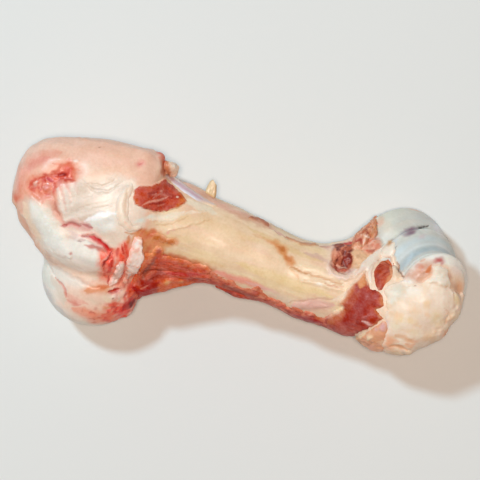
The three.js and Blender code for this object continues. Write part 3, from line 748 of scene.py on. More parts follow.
bone.tint_lines([
    ([(-64, -8.6), (-66, -12.4), (-67, -17.6)], 1.0, "#9c1c18", 0.95),
    ([(-63.4, -9), (-62.2, -12.6), (-62.6, -17)], 0.8, "#b42a20", 0.8),
    ([(-58.4, -5), (-57, -8.6)], 1.3, "#c2301e", 0.8),
    ([(-65.8, -10.6), (-68.2, -15.6)], 0.8, "#f0b3a2", 0.7),
    ([(-63.6, -9.6), (-62.8, -14), (-63.6, -19.6)], 2.0, "#e03a26", 0.9),
    ([(-61.4, -17), (-61.8, -22)], 1.4, "#ff9a80", 0.8),
    ([(-58.4, -3), (-57.4, -6), (-56.4, -9.6)], 2.4, "#e04a30", 0.9),
    ([(-56.6, 1), (-56, -3)], 1.6, "#d98050", 0.8),
    ([(-61.4, -5.4), (-60.6, -10)], 1.2, "#d14c3c", 0.85),
    ([(-60.8, -9.6), (-60.8, -15)], 0.8, "#f3b8a8", 0.7),
    ([(-66.6, -16), (-65, -21)], 1.2, "#d9573f", 0.7),
    ([(-56.4, -11), (-56.2, -19), (-57, -24)], 1.0, "#c9432f", 0.8),
    ([(-63.2, -20), (-62.6, -26)], 0.9, "#b93a30", 0.8),
    ([(-73.6, -31), (-67, -28.8), (-61.6, -26.6)], 3.2, "#e39a70", 0.95),
    ([(-67, -28), (-62, -26.8)], 1.9, "#d9774e", 0.7),
    ([(-78, -41.6), (-66, -43.4), (-54, -43)], 4.4, "#f0a084", 0.75),
    ([(-84, -34), (-77, -37), (-71, -38)], 2.8, "#ebb09c", 0.7),
    ([(-82.4, -37), (-78, -39.4), (-74, -39)], 1.4, "#df7f70", 0.55),
    ([(-90, -27), (-86.8, -29.8), (-84, -32.4), (-82, -37)], 0.9, "#d98a7c", 0.8),
])
bone.tint(bone.area(LOWER_RAW, 8) * smooth(-0.6, 0.3, rough(p, 4.4, 69)), "#e79676", 0.9)
CLOT = [(-61, -34), (-54, -30), (-51, -22), (-45, -24), (-44, -40), (-54, -46), (-62, -44)]
bone.tint(bone.area(CLOT, 4) * smooth(-0.45, 0.3, rough(p, 3.6, 58)), "#ec5c42", 0.95)
bone.tint_where(bone.area(LOWER_RAW, 6), [
    (0.05, 0.5, crumbs, "#f6b89c", 0.6),
    (0.05, 0.4, -crumbs, "#b02c20", 0.7),
])
bone.tint_spots([
    (-52.4, -37.4, 4.4, 4.6, 20, "#f93a26", 0.9),
    (-56.8, -41.6, 6, 2.8, 4, "#ea7454", 0.75),
    (-65, -42.4, 5.4, 2.4, 4, "#ec8a6c", 0.6),
    (-77, -38.6, 4, 2, -10, "#e0897a", 0.6),
    (-50.8, -25.4, 2.4, 5.4, 10, "#cc4a38", 0.8),
    (-49.8, -32, 5.8, 2.8, 62, "#c4201a", 0.9),
    (-48.8, -32.8, 4.6, 1.6, 58, "#6a0a12", 0.95),
    (-52, -36, 1.4, 2.2, 30, "#a81a16", 0.8),
    (-47.4, -30.4, 3.2, 1.5, 70, "#8a1418", 0.9),
    (-52.6, -39.6, 2.6, 1.6, 30, "#c4241c", 0.85),
    (-55, -35.4, 1.5, 0.8, 40, "#f2b49c", 0.8),
    (-50.4, -40, 1.2, 2.0, -40, "#dc3a28", 0.8),
    (-57.6, -36.6, 2.2, 1.0, 20, "#b8402c", 0.7),
    (-62, -43.4, 2.6, 1.0, 6, "#d0603e", 0.7),
    (-51.4, -34.6, 1.5, 2.8, -30, "#a81c1a", 0.85),
    (-55.6, -38.6, 1.6, 1.2, 0, "#c0281e", 0.8),
    (-52.6, -30, 1.1, 2.4, 10, "#c43428", 0.7),
    (-57, -35, 2.6, 1.0, 20, "#d0604a", 0.7),
    (-56.4, -15.4, 1.4, 2.6, 0, "#f8b49e", 0.8),
    (-61, -37.4, 3.4, 1.6, 0, "#dd9767", 0.7),
    (-61, -33, 5, 2.6, -10, "#f1ddc2", 0.9),
    (-54, -27.6, 2.0, 3.2, 10, "#f6d3c0", 0.9),
    (-58.8, -32.2, 0.9, 0.7, 0, "#7c4036", 0.85),
    (-83.6, -13.3, 1.6, 1.1, 0, "#cd8278", 0.8),
    (-84, -16, 1.3, 0.6, 0, "#d3b0a4", 0.6),
    # painted shade: a dark spot at the lower end of the shade below the slit
    (-80.6, -7.3, 1.6, 0.7, 0, "#95605c", 0.8),
    (-85, -6.4, 4.4, 1.3, -12, "#d3b5ac", 0.6),
])
bone.colour *= (1 + SPILL * low_ball + SPILL * bone.area(LOWER_RAW, 5))[:, None]
bone.tint(bone.line(beside(MOUTH, -0.2), 2.6), "#e0907c", 0.8)
bone.tint(bone.line(MOUTH, 1.7), "#a82e40", 0.95)
bone.bleed_lines([
    ([(-60, -4), (-57, -9)], 1.0, 0.8),
    (MOUTH, 0.8, 1.0),
])
for points, width, code, strength in [
    ([(-99, 24), (-103, 23.6), (-107, 22.6)], 1.1, "#c94436", 0.75),
    ([(-97, 27), (-99.6, 29.2), (-103, 29.4)], 1.2, "#e27c60", 0.7),
    ([(-95, 29), (-94.6, 31.6), (-96, 33.6)], 1.2, "#e58468", 0.7),
    ([(-93, 27.6), (-90.6, 29), (-88.4, 28.6)], 1.0, "#dd8468", 0.7),
    ([(-94, 24), (-90.6, 22.2), (-88.6, 20.6)], 1.0, "#c9543e", 0.8),
    ([(-96.6, 22.6), (-93.4, 19.4), (-90.6, 15.4)], 0.9, "#e0988a", 0.7),
    ([(-99, 21.6), (-97, 17), (-94, 11.6)], 0.9, "#e8a698", 0.7),
    ([(-104, 13.6), (-104.6, 11), (-103.6, 8.6)], 1.2, "#e9927a", 0.6),
    ([(-109, 13.4), (-110.6, 11.4)], 1.0, "#e58a70", 0.7),
]:
    bone.tint(bone.line(points, width) * smooth(-0.6, 0.1, crumbs), code, strength)
for fan, share in [
    ([(-98.2, 18.6), (-95.4, 13), (-92.6, 6)], 0.6),
    ([(-95.6, 20), (-92.8, 15), (-90.6, 10)], 0.5),
    ([(-92, 21), (-89.4, 18), (-87, 15.6)], 0.35),
]:
    bone.tint(bone.line(fan, 1.8), "#f3e7da", share)
    bone.tint(bone.line(beside(fan, 1.6), 0.9), "#e8bcae", share)

# Along the shaft.
UPPER_EDGE = [(-46, 38.6), (-34, 34.4), (-20, 28.6), (-8, 25.4), (8, 22.6), (24, 17.6)]
bone.tint_where(shaft, [
    (0.0, 0.6, grainy, "#e2bd92", 0.4),
    (0.1, 0.6, -grainy, "#f6e2c2", 0.5),
    (0.05, 0.5, bone.streaks(-12, 5, 44, 7), "#efc6ae", 0.5),
    (0.05, 0.5, bone.streaks(-6, 4, 45, 8), "#eed7a4", 0.45),
])
bone.tint_lines([
    ([(-34, 9), (-10, 9), (14, 5)], 6, "#efd0ac", 0.7),
    ([(-44, 13), (-20, 16), (8, 12)], 4, "#eacb9f", 0.5),
    ([(2, 18.6), (14, 15), (26, 12), (44, 8.4)], 2.6, "#dfc08a", 0.6),
    ([(0, -1), (16, -3), (34, -6), (52, -7.6)], 4.4, "#edd3a0", 0.75),
    ([(-36, -2), (-20, -3), (-4, -4.4)], 2.4, "#ecc99c", 0.6),
    (UPPER_EDGE, 2.4, "#e2ae98", 0.8),
    ([(-10, 24.8), (2, 22.4), (14, 19.6)], 2.0, "#d7a484", 0.6),
    ([(33, 12), (40, 11.2), (48, 8.2)], 1.9, "#cba49a", 0.55),
    ([(-14, -6.8), (-2, -8.6), (10, -9.8), (22, -11.6)], 3, "#f29a88", 0.85),
    ([(6, -9.4), (16, -10.6), (26, -11.6)], 1.8, "#eec2b6", 0.7),
    ([(16, -12), (26, -13.4), (33, -14.6)], 2.8, "#eed8bf", 0.8),
    ([(30, -15.4), (37, -12.6), (45, -10.4), (54, -8.4)], 0.8, "#d8ab92", 0.45),
    ([(32, -16.4), (42, -13.6), (54, -11.8)], 4.4, "#e4b3a8", 0.8),
    ([(52, -10), (56, -7), (59, -3)], 2.2, "#f0dcc6", 0.7),
    # painted highlight along the membrane ridge's crest, then painted shade under it
    ([(-49, 11.4), (-38, 13.6), (-30, 18.6), (-20, 22)], 0.9, "#f5e4cb", 0.85),
    ([(-46, 9.6), (-37, 12.2), (-29, 17.2)], 0.7, "#cfa57c", 0.6),
    ([(-38, 8), (-28, 12.6), (-18, 17.6)], 0.8, "#d9b48c", 0.6),
    ([(21, 18), (30, 16.4), (40, 16.8)], 1.7, "#bd7a52", 0.8),
    ([(-33, 25), (-24, 24), (-15, 21.6)], 3.2, "#ece0c8", 0.85),
    ([(-50, 12.4), (-40, 15), (-32, 19)], 2.6, "#ebe2cf", 0.7),
    ([(31, 4.6), (41, 4), (50, 2.2)], 1.9, "#f3d9b4", 0.6),
    ([(30, 2.6), (40, 0.9), (48, 0.5), (56, -0.4)], 0.8, "#c98c5c", 0.75),
    ([(46, -1.7), (52, -1.5), (57, -1.9)], 0.6, "#d79379", 0.7),
    # painted highlight: a pale streak beside the groove
    ([(45, -0.4), (52, -0.6)], 0.8, "#f8e8cd", 0.7),
    ([(46, 9.4), (48.6, 4.6), (54, 2.8), (61, 3.6)], 1.7, "#efd8cf", 0.9),
    ([(-6, -4.4), (4, -5.6), (12, -6)], 1.0, "#f3ddb8", 0.6),
])
STAIN = [
    (12, 13.8), (17, 14.4), (21, 13), (24.4, 11.8), (25, 9), (28.6, 7.6), (30.4, 5), (28.6, 3),
    (25.8, 4), (22.6, 7.4), (19.6, 9.6), (16, 12),
]
bone.tint_area(STAIN, 2.4, "#d98f52", 0.85)
bone.tint_lines([
    ([(19, 12), (23.6, 10.4)], 1.6, "#bf6f35", 0.7),
    ([(24, 8), (28, 5.4)], 1.8, "#c4722f", 0.75),
    ([(27.6, 3), (32, 1.6), (37, 0.6)], 1.0, "#c98a54", 0.8),
    ([(27, 2.6), (31, -0.4), (33, -2)], 1.1, "#dba269", 0.7),
    ([(4, 15.6), (12, 14.4)], 1.4, "#dba873", 0.5),
])
FRILL = [
    (-55, 3.6), (-52, 6.6), (-46, 7.2), (-41, 6), (-37, 4.4), (-33, 5.2), (-31.2, 3), (-33.4, 0.6),
    (-37.4, 0), (-38, -3), (-30, -4), (-14, -4.6), (-11, -7), (-14, -10), (-40, -12), (-50, -10),
    (-54, -2),
]
bone.tint_area(FRILL, 2.8, "#df925e", 0.9)
flames = bone.streaks(70, 2.2, 59, 4)
bone.tint_where(bone.area(FRILL, 2.8), [
    (0.0, 0.5, flames, "#d87450", 0.8),
    (0.1, 0.5, -flames, "#e0a878", 0.7),
])
FRILL_ROOT = [(-38, -3), (-30, -4), (-20, -5), (-10, -5.6), (-12, -8), (-36, -8), (-42, -4)]
bone.tint_area(FRILL_ROOT, 3, "#c86a42", 0.8)
bone.tint_spots([
    (-53, 10.2, 5, 1.8, 22, "#dfe5da", 0.95),
    (-48.6, 12.8, 3.4, 1.2, 20, "#e4e6d8", 0.8),
    (-37.6, 7.2, 2.0, 1.3, 60, "#eba79c", 0.85),
    (-35.6, 9, 1.4, 1.0, 20, "#ebb9a8", 0.8),
    # painted highlight on the low ridge below the groove
    (44.6, -3.1, 3.0, 1.1, 0, "#fcf4e6", 0.9),
    (31, -9.8, 2.4, 0.9, 10, "#f4e2c2", 0.6),
])
bone.tint_lines([
    ([(1, 22.6), (6, 23.6), (12, 21)], 1.6, "#aa6444", 0.9),
    ([(40, 17), (46, 17.8), (51, 19)], 1.9, "#b8604e", 0.85),
])

# The elbow end, with the spool's cartilage by its rings.
ROUND_PIT = [(44, 18), (56, 26), (66, 24), (70, 8), (62, 0), (46, 4)]
bone.tint_area(ROUND_PIT, 6, "#ecceb8", 0.8)
bone.tint_area(TAN, 2, "#e8bc92", 0.9)
bone.tint_where(bone.area(TAN, 2), [
    (0, 0.5, crumbs, "#b88a62", 0.55),
    (0.1, 0.6, -crumbs, "#f0d8b4", 0.7),
])
bone.tint_area(SCRAPS, 3, "#e2a184", 0.9)
bone.tint_where(bone.area(SCRAPS, 3), [
    (0.0, 0.4, crumbs, "#c8745a", 0.8),
    (0.1, 0.5, -crumbs, "#ecbca2", 0.7),
])
pit = bone.area(PIT, 2.4)
chips = crumbs + 0.7 * rough(p, 1.3, 46, 2)
bone.tint(pit, "#b2583e", 0.95)
bone.tint(bone.spot(52, 18.6, 5, 2, 6), "#a04a34", 0.7)
# painted shade in the hollows between the crumbs
bone.tint(pit * smooth(0.0, 0.4, -chips), "#6c241a", 0.9)
bone.tint(bone.spot(54.6, 12.4, 3.8, 5.6, 14) * smooth(0.7, -0.1, chips), "#6c1e22", 0.85)
# the crumbs' own paler colour, lightened on their raised tops as painted highlight
bone.tint(pit * smooth(0.15, 0.5, chips), "#df9474", 0.9)
bone.tint_lines([
    ([(53, 14), (55.6, 11.4), (56.4, 9)], 1.9, "#8e2a1a", 0.8),
    ([(50.4, 15.6), (52.6, 12.6)], 0.8, "#e8a080", 0.8),
    ([(48, 19.4), (54, 20), (60, 21.4)], 1.8, "#7a3020", 0.85),
    ([(47.6, 11), (50.4, 7.4), (54.4, 5.6), (58, 7)], 1.3, "#c4604a", 0.8),
    ([(55.6, 9.4), (57.6, 12), (57, 15)], 1.0, "#8a3426", 0.8),
    ([(46, 18.4), (50, 19.6), (55, 20)], 1.2, "#8c3a28", 0.7),
    # painted light: the pit's left wall, which faces away from the lamp, made lighter pink
    ([(48.8, 17), (48.2, 13), (49.4, 9)], 2.4, "#f0a684", 0.8),
    ([(50, 8.8), (53.4, 7.6), (56.6, 8.4)], 0.6, "#f0c6ae", 0.8),
])
bone.bleed(bone.area(SCRAPS, 3) * smooth(0.1, 0.6, rough(p, 3.0, 55)), 0.5)
bone.bleed_lines([
    ([(52, 20.6), (57, 21.4), (60, 23)], 1.2, 0.9),
])
bone.tint_lines([
    ([(61, 27), (64.4, 26), (66.4, 29)], 1.1, "#f4d9ca", 0.6),
    ([(64.6, 21.6), (67, 24.6)], 1.0, "#f3cdbb", 0.6),
    ([(64, 19), (67, 18.6), (68.6, 21)], 1.3, "#b8563f", 0.8),
    ([(62.6, 29), (65.4, 33), (66.6, 38.6)], 1.2, "#c8805c", 0.7),
    ([(56, 5), (62, 8.6)], 2.2, "#efdccd", 0.7),
])
ring = on_spool * smooth(5, 3, np.abs(beyond))
bone.tint(ring, "#cdcec4")
inner = ring * smooth(-14, 2, along) * smooth(12, 2, along)
bone.tint(inner * smooth(12, -12, x - 78), "#dadbc9", 0.85)
bone.tint(ring * smooth(2, 12, along) * smooth(16, 13, along) * smooth(80, 92, x), "#cbd1ce", 0.7)
for at, half, code, strength in [
    # painted shade: a dark line in the step under the second ring's lip
    (16.4, 0.8, "#8f999c", 0.75),
    (20, 2.6, "#dde2db", 0.85),
    (27.4, 2.2, "#c6d4d6", 0.85),
    (33.4, 2.4, "#a8bac0", 0.85),
    (30.4, 1.0, "#d5dfe0", 0.6),
    (39.6, 1.6, "#fbfcf2", 0.95),
]:
    bone.tint(ring * np.exp(-(((along - at) / half) ** 2)), code, strength)
bone.tint(ring * smooth(41.6, 43.4, along), "#f6f4ea", 0.85)
bone.tint_spots([
    (107, 23, 6, 3.4, -40, "#f6f6ea", 0.8),
    (72, 33, 5, 6, 30, "#e3ddca", 0.7),
    (68.4, 35, 2.6, 4.6, -10, "#e6b79c", 0.7),
    (77, 30, 4, 4, 0, "#dfe0d2", 0.6),
    (84, 45, 5, 1.3, 0, "#e8bfa6", 0.7),
    (98.6, 38.6, 8, 4.4, -34, "#e4edf4", 0.8),
    (84.6, 34, 5.4, 2.8, 24, "#7f5c70", 0.9),
    (81.6, 32, 3.6, 1.7, 30, "#94838c", 0.6),
    (87.6, 35.2, 1.8, 0.9, 24, "#6c4f5e", 0.6),
    (78, 27, 1.6, 3, 0, "#c4cdd4", 0.7),
    (90.6, 31.6, 3.4, 1.6, 24, "#d3c2c4", 0.6),
    (101.4, 22, 4.4, 2.4, 16, "#c05c58", 0.95),
    (103.6, 20.6, 1.4, 1.6, 0, "#c05f60", 0.6),
    (75.2, 25.6, 2.1, 2.6, -20, "#cc9a62", 0.95),
    (111, 19, 3.6, 5, 30, "#f3e9e2", 0.6),
    (108.6, 15, 1.6, 3, 0, "#d5b3ae", 0.6),
    (86.6, 20, 1.8, 6, -14, "#bfd2da", 0.6),
    (114.6, 10.4, 4.0, 4.6, 0, "#e2a06a", 0.6),
])
# painted shade: a near-black line in the cut across the cartilage
bone.tint(bone.line([(87, 36.2), (90, 37), (93, 38.5)], 0.95), "#33292c", 0.98)
ORANGE_TISSUE = [
    (86, 9.6), (88.6, 14), (91.4, 18.6), (95, 20.4), (99, 21), (99.6, 15), (98, 11.6), (94, 9),
]
bone.tint_area(ORANGE_TISSUE, 5, "#d6a68c", 0.95)
bone.tint(bone.area(ORANGE_TISSUE, 3) * smooth(0, 0.6, rough(p, 3, 56)), "#cf8062", 0.65)
bone.tint_lines([
    ([(96.6, 13.6), (98, 16.4), (98.8, 19)], 1.2, "#d97f4c", 0.85),
    ([(91, 12), (94.6, 12.4), (98, 14)], 1.3, "#e6c2b0", 0.8),
    ([(92, 19.6), (95, 22)], 1.2, "#e2bba4", 0.8),
    # painted shade in the crease by the column, and down the ligament's shaded right side
    (CREASE, 0.7, "#8d5c44", 0.85),
    ([(78.2, 18), (78.6, 22), (79.4, 25)], 0.7, "#8e7368", 0.7),
])

COLUMN = [
    (77.6, 20), (79.6, 18.6), (81.6, 15.4), (84.4, 11.6), (86.4, 9), (84, 6), (79, 7), (78, 13),
]
column = bone.area(COLUMN, 1.6)
bone.tint(column, "#f2d9be", 0.95)
# painted shade in the crease beside the column
bone.tint(bone.line(CREASE, 0.7), "#9a6a50", 0.85)
cartilage = np.clip(ring * (1 - column) + ball, 0, 1)
bone.tint(bone.line([(-52, 48), (-48.4, 45), (-46.6, 40), (-45.6, 35)], 3.0), "#cc7c5c", 0.9)
seep = 0.8 + 0.55 * crumbs
bone.tint(bone.line([(-52, 46.6), (-49.6, 45.4), (-48, 42.6)], 2.2) * seep, "#e8654c", 0.9)
bone.gloss(smooth(-46, -56, x) * bone.up, 0.7)
bone.gloss(bone.line(BAND, 8.4), 0.95)
bone.gloss(gleam, 1.0)
bone.gloss(cartilage, 0.75)
bone.gloss(bone.gore * 1.4, 0.9)
bone.gloss(bone.area(LOWER_RAW, 6), 0.1)
bone.wrinkle(bone.all, 0.4)
bone.wrinkle(bone.area(SHEET, 6), 0.7)
bone.wrinkle(cartilage, 0.05)
bone.wrinkle(bone.gore * 1.4, 0.9)

# From the edge of a blood stain to its middle.
BLOOD_STEPS = [
    (0.0, "#f0b8a2"), (0.3, "#e58064"), (0.55, "#d64a38"), (0.8, "#b72a24"), (1.0, "#7c1a1c"),
]
BLOOD_TOP = 1.3  # how strongly marked the darkest blood is
TISSUE_IOR = 1.4
SOAK = 0.15  # the share of the light that goes into tissue
SOAK_REACH = (1.0, 0.45, 0.3)  # of the depth, for red, green and blue
FILM_ROUGHNESS = 0.25
WET_DROP = 0.2  # how much smoother tissue is where it is marked wet


def tissue(name, roughness, grain=1.1, bump=0.25, depth=1.6, mottle=0.12, coat=0.15, shine=0.5):
    """Wet tissue: its painted colour, mottled, with blood where it is marked, under a damp film.
    grain and bump are the size and the height of its fine relief in mm, depth how far light goes
    into it in mm, coat how much of the film there is, and shine how strongly it reflects."""
    material, tree, out = new_material(name)
    colour = add(tree, "ShaderNodeAttribute", attribute_name="tissue").outputs["Color"]
    marks = add(tree, "ShaderNodeAttribute", attribute_name="marks").outputs["Color"]
    parts = add(tree, "ShaderNodeSeparateColor", {"Color": marks}).outputs
    place = add(tree, "ShaderNodeTexCoord").outputs["Object"]

    def speckle(size, detail=3.0):
        inputs = {"Vector": place, "Scale": 1 / (size * MM), "Detail": detail}
        return add(tree, "ShaderNodeTexNoise", inputs).outputs["Fac"]

    def maths(operation, a, b, clamp=False):
        node = add(tree, "ShaderNodeMath", {0: a, 1: b}, operation=operation, use_clamp=clamp)
        return node.outputs["Value"]

    coarse, fine = speckle(grain * 5), speckle(grain * 1.2, 4.0)
    tone = maths("MULTIPLY", maths("SUBTRACT", coarse, 0.5), 2 * mottle)
    tone = maths("ADD", tone, maths("MULTIPLY", maths("SUBTRACT", fine, 0.5), mottle * 1.4))
    shade = add(tree, "ShaderNodeHueSaturation", {
        "Color": colour,
        "Value": maths("ADD", tone, 1.0),
        "Saturation": maths("SUBTRACT", 1.0, tone),
    }).outputs["Color"]
    ragged = maths("MULTIPLY", maths("SUBTRACT", fine, 0.5), 1.3)
    spread = maths("ADD", parts["Red"], maths("MULTIPLY", ragged, parts["Red"]))
    ramp = add(tree, "ShaderNodeValToRGB", {"Fac": maths("DIVIDE", spread, BLOOD_TOP)})
    blood = ramp.color_ramp
    while len(blood.elements) < len(BLOOD_STEPS):
        blood.elements.new(0.5)
    for element, (at, code) in zip(blood.elements, BLOOD_STEPS):
        element.position = at
        element.color = linear(code)
    share = maths("MULTIPLY", spread, 1.3, clamp=True)
    mixed = add(tree, "ShaderNodeMix", {"Factor": share}, data_type="RGBA")
    tree.links.new(shade, mixed.inputs["A"])
    tree.links.new(ramp.outputs["Color"], mixed.inputs["B"])
    height = maths("MULTIPLY", maths("ADD", fine, maths("MULTIPLY", coarse, 0.8)), parts["Blue"])
    relief = add(tree, "ShaderNodeBump", {"Height": height, "Strength": 1.0, "Distance": bump * MM})
    rough_share = maths("SUBTRACT", roughness, maths("MULTIPLY", parts["Green"], WET_DROP))
    flesh = add(tree, "ShaderNodeBsdfPrincipled", {
        "Base Color": mixed.outputs["Result"],
        "Roughness": rough_share,
        "IOR": TISSUE_IOR,
        "Subsurface Weight": SOAK,
        "Specular IOR Level": shine,
        "Subsurface Radius": SOAK_REACH,
        "Subsurface Scale": depth * MM,
        "Coat Weight": coat,
        "Coat Roughness": FILM_ROUGHNESS,
        "Normal": relief.outputs["Normal"],
    })
    tree.links.new(flesh.outputs["BSDF"], out.inputs["Surface"])
    return material


def fit(name, skin, material, slot, *nodes):
    """Puts a finished piece in the scene, where it rides and stands for its solids."""
    skin.store()
    piece = object_from(name, skin.mesh)
    piece.data.materials.append(material)
    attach(piece, "root")
    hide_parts(*nodes)


# Periosteum and capsule: thin collagen skins over bone, damp, matt to satin, a little clear.
fit("bone", bone, tissue("periosteum_and_capsule", 0.58), "bone", "humerus")

# ---------------------------------------------------------------------------------------------
# The muscle that the butcher left on the bone, in stumps and scraps. Most of it lies in thin
# layers that end in an edge cut by the knife. Each is a closed sheet drawn over the bone's own
# skin, which it sinks into at its rim.

SINK = 1.2  # mm that a layer's underside lies below the bone's skin
RIM = 0.7  # mm of it that the rim dives through
HEM = 4.0  # mm, how far its lower edge wanders up and down the flank
FRAY = 1.5  # mm, the same for the smaller steps in that edge
INSET = 0.5  # mm that its rim lies inside the outline
MARGIN = 2.4  # mm, how far out the bone's skin is taken along
STEEPEST = -0.75  # the upward share of the normal where the underside of the bone begins


def taken(mesh, name, kind, width):
    """An attribute's values, which are then taken off the mesh."""
    values = read(mesh.attributes[name].data, kind, width).astype(float)
    mesh.attributes.remove(mesh.attributes[name])
    return values


def layer_on(whole, outline, thick, bottom, soften, edge, wander, seed, ragged=0.0):
    """The skin of a layer that follows the bone inside an outline in plan, down to a height over
    the table. It rises from edge of its thickness at the rim to all of it at soften inside."""
    outline = np.array(outline, float)
    margin = MARGIN + wander + ragged
    kept = (whole.seen > outline.min(0) - margin).all(1)
    kept &= (whole.seen < outline.max(0) + margin).all(1)
    kept &= (whole.p[:, 2] > bottom - 2 * margin - HEM) & (whole.n[:, 2] > STEEPEST)
    kept &= whole.depth_in(outline, whole.seen) > -margin
    body = bmesh.new()
    body.from_mesh(whole.mesh)
    facing = body.verts.layers.float_vector.new("facing")
    lift = body.verts.layers.float.new("lift")
    for vertex, normal, keep in zip(body.verts, whole.n, kept):
        if keep:
            vertex[facing] = normal
    spare = [vertex for vertex, keep in zip(body.verts, kept) if not keep]
    bmesh.ops.delete(body, geom=spare, context="VERTS")
    grown = bmesh.ops.extrude_face_region(body, geom=list(body.faces), use_keep_orig=True)["geom"]
    for item in grown:
        if isinstance(item, bmesh.types.BMVert):
            item[lift] = 1.0
    mesh = bpy.data.meshes.new("layer")
    body.to_mesh(mesh)
    body.free()
    below = taken(mesh, "tissue", "color", 4)[:, :3] / PAINT_GAIN
    gore_below = taken(mesh, "marks", "color", 4)[:, 0]
    top = taken(mesh, "lift", "value", 1)[:, 0]
    outward = taken(mesh, "facing", "vector", 3)
    skin = Skin(mesh, wander, seed)
    skin.below, skin.gore_below, skin.top, skin.n = below, gore_below, top, outward
    skin.face_up()
    skin.hem = skin.p[:, 2] - bottom + FRAY * rough(skin.p, 5, seed)
    skin.hem += HEM * rough(skin.p, 15, seed + 1)
    depth = np.minimum(skin.depth_in(outline), skin.hem)
    depth += ragged * rough(skin.p, 2.6, seed + 3) - INSET
    height = thick * (edge + (1 - edge) * np.sqrt(np.clip(depth / soften, 0, 1)))
    height = -RIM + (height + RIM) * smooth(-RIM, 0.2, depth)
    skin.p += skin.n * np.where(top > 0, height, -SINK)[:, None]
    skin.depth = depth
    return skin


def raise_top(skin, height):
    """Relief on a layer's upper side alone."""
    skin.p += skin.n * (height * skin.top * smooth(0, 0.8, skin.depth))[:, None]


def fade(skin, mask):
    """Lets the bone's own colours through where a layer thins out."""
    share = np.clip(mask, 0, 1)
    skin.colour += (skin.below - skin.colour) * share[:, None]
    skin.gore = np.maximum(skin.gore * (1 - share), skin.gore_below * share)


flesh = tissue(
    "fresh_muscle", 0.6, grain=0.8, bump=0.4, depth=1.2, mottle=0.2, coat=0.04, shine=0.3
)
fat = tissue("firm_fat", 0.66, grain=1.3, bump=0.2, depth=2.0, mottle=0.08, coat=0.08)
sinew = tissue("wet_sinew", 0.5, grain=0.9, bump=0.15, depth=1.6, mottle=0.07)

MUSCLE = "#c6503a"
MUSCLE_DEEP = "#8f2d25"


def muscle(skin, angle, seed, relief=0.16):
    """The colours and grain of cut muscle, whose fibres run at an angle in plan."""
    strands = skin.streaks(angle, 1.5, seed, 6)
    raise_top(skin, relief * (strands + 1.4 * rough(skin.p, 4.5, seed + 2)))
    skin.tint(skin.all, MUSCLE)
    skin.tint(smooth(-0.1, 0.7, rough(skin.p, 6, seed + 4)), MUSCLE_DEEP, 0.45)
    skin.tint(smooth(0.0, 0.5, strands), "#cd6a50", 0.6)
    skin.tint(smooth(0.0, 0.5, -strands), MUSCLE_DEEP, 0.5)
    skin.wet[:] = 0.7
    skin.fine[:] = 0.7


# A square stump in the angle between the tubercle and the shaft: muscle cut across, with the
# pale septa that part its bundles.
NECK = [
    (-60.2, 25.4), (-57.6, 28.4), (-51, 29.2), (-47.8, 32.2), (-45.4, 34.6), (-41.2, 31.8),
    (-37.6, 30), (-33, 27.2), (-30.4, 24.4), (-34.6, 20.8), (-39.4, 17.4), (-44, 16), (-52, 15.8),
    (-57.8, 17.2), (-60, 21),
]
neck = layer_on(
    bone, NECK, thick=1.5, bottom=36, soften=3, edge=0.3, wander=0.5, seed=71, ragged=0.5
)
muscle(neck, angle=20, seed=72)
neck.tint(neck.all, "#c84e38", 0.45)
neck.blotch(2.6, 73, 0.0, 0.5, "#9c3430", 0.6)
neck.blotch(2.2, 70, 0.1, 0.5, "#cf6a50", 0.6)
neck.tint_lines([
    ([(-54.6, 18), (-50, 20.8), (-46.4, 22.4), (-42, 24.6)], 0.9, "#e3a08c", 0.85),
    ([(-50.6, 24.4), (-46, 25.4), (-42, 24.6)], 0.6, "#cf8272", 0.7),
    ([(-50, 22), (-47.6, 24.8), (-45.4, 27)], 0.6, "#cf8272", 0.7),
    ([(-47.4, 19), (-43, 21)], 0.6, "#d18b78", 0.6),
    ([(-51, 19), (-47, 20.4), (-43, 22)], 0.8, "#8c2a26", 0.7),
    ([(-53, 24), (-48, 26.6)], 1.2, "#942e2a", 0.7),
    ([(-59, 25), (-58.8, 20.6), (-55, 17.2)], 1.7, "#d46a3e", 0.8),
    ([(-57, 27), (-51, 28), (-47, 31.4)], 1.2, "#c4603e", 0.7),
    ([(-40, 30), (-36, 27.6), (-33, 25)], 1.3, "#d2744a", 0.75),
    ([(-37, 20), (-34, 23)], 1.3, "#d67a48", 0.75),
])
neck.tint_spots([
    (-33.6, 24.4, 3.2, 1.9, 20, "#de8450", 0.9),
    # the three small pale dots are painted highlights on the wet muscle
    (-36.9, 24.9, 1.1, 0.8, 0, "#f6e3cb", 0.95),
    (-46.6, 27, 0.9, 0.6, 0, "#e9b7a5", 0.8),
    (-48.6, 25.4, 0.6, 0.5, 0, "#e2a595", 0.8),
])
fade(neck, smooth(0.5, 0.0, neck.depth))
fit("neck_muscle", neck, flesh, "meat", "meat_neck")

# A scrap of the same muscle below it, dried to a brown stain on the bone.
NUB = [
    (-47, 5.6), (-42, 6.2), (-38, 5), (-34, 5.4), (-31.8, 3.2), (-33.4, 0.6), (-38, 0.8),
    (-41.4, 1.4), (-45.6, 0.6),
]
nub = layer_on(bone, NUB, thick=0.9, bottom=36, soften=2.6, edge=0.1, wander=0.6, seed=74)
muscle(nub, angle=15, seed=75, relief=0.1)
nub.tint(nub.all, "#cc7c46", 0.9)
nub.blotch(3, 76, 0, 0.7, "#b9683a", 0.5)
fade(nub, smooth(1.4, 0.1, nub.depth))
fit("neck_scrap", nub, flesh, "meat", "meat_nub")

# The big muscle behind the neck: its stump hangs at the shaft's flank, and spreads up onto it.
SWELL = 0.6  # mm, which closes the clearance to the bone
STUMP_TUCK = 3.2  # mm, how far the stump's lower side is drawn up
SUNK = 3.6  # mm, how deep its upper sheet dives under the part that spreads over the bone


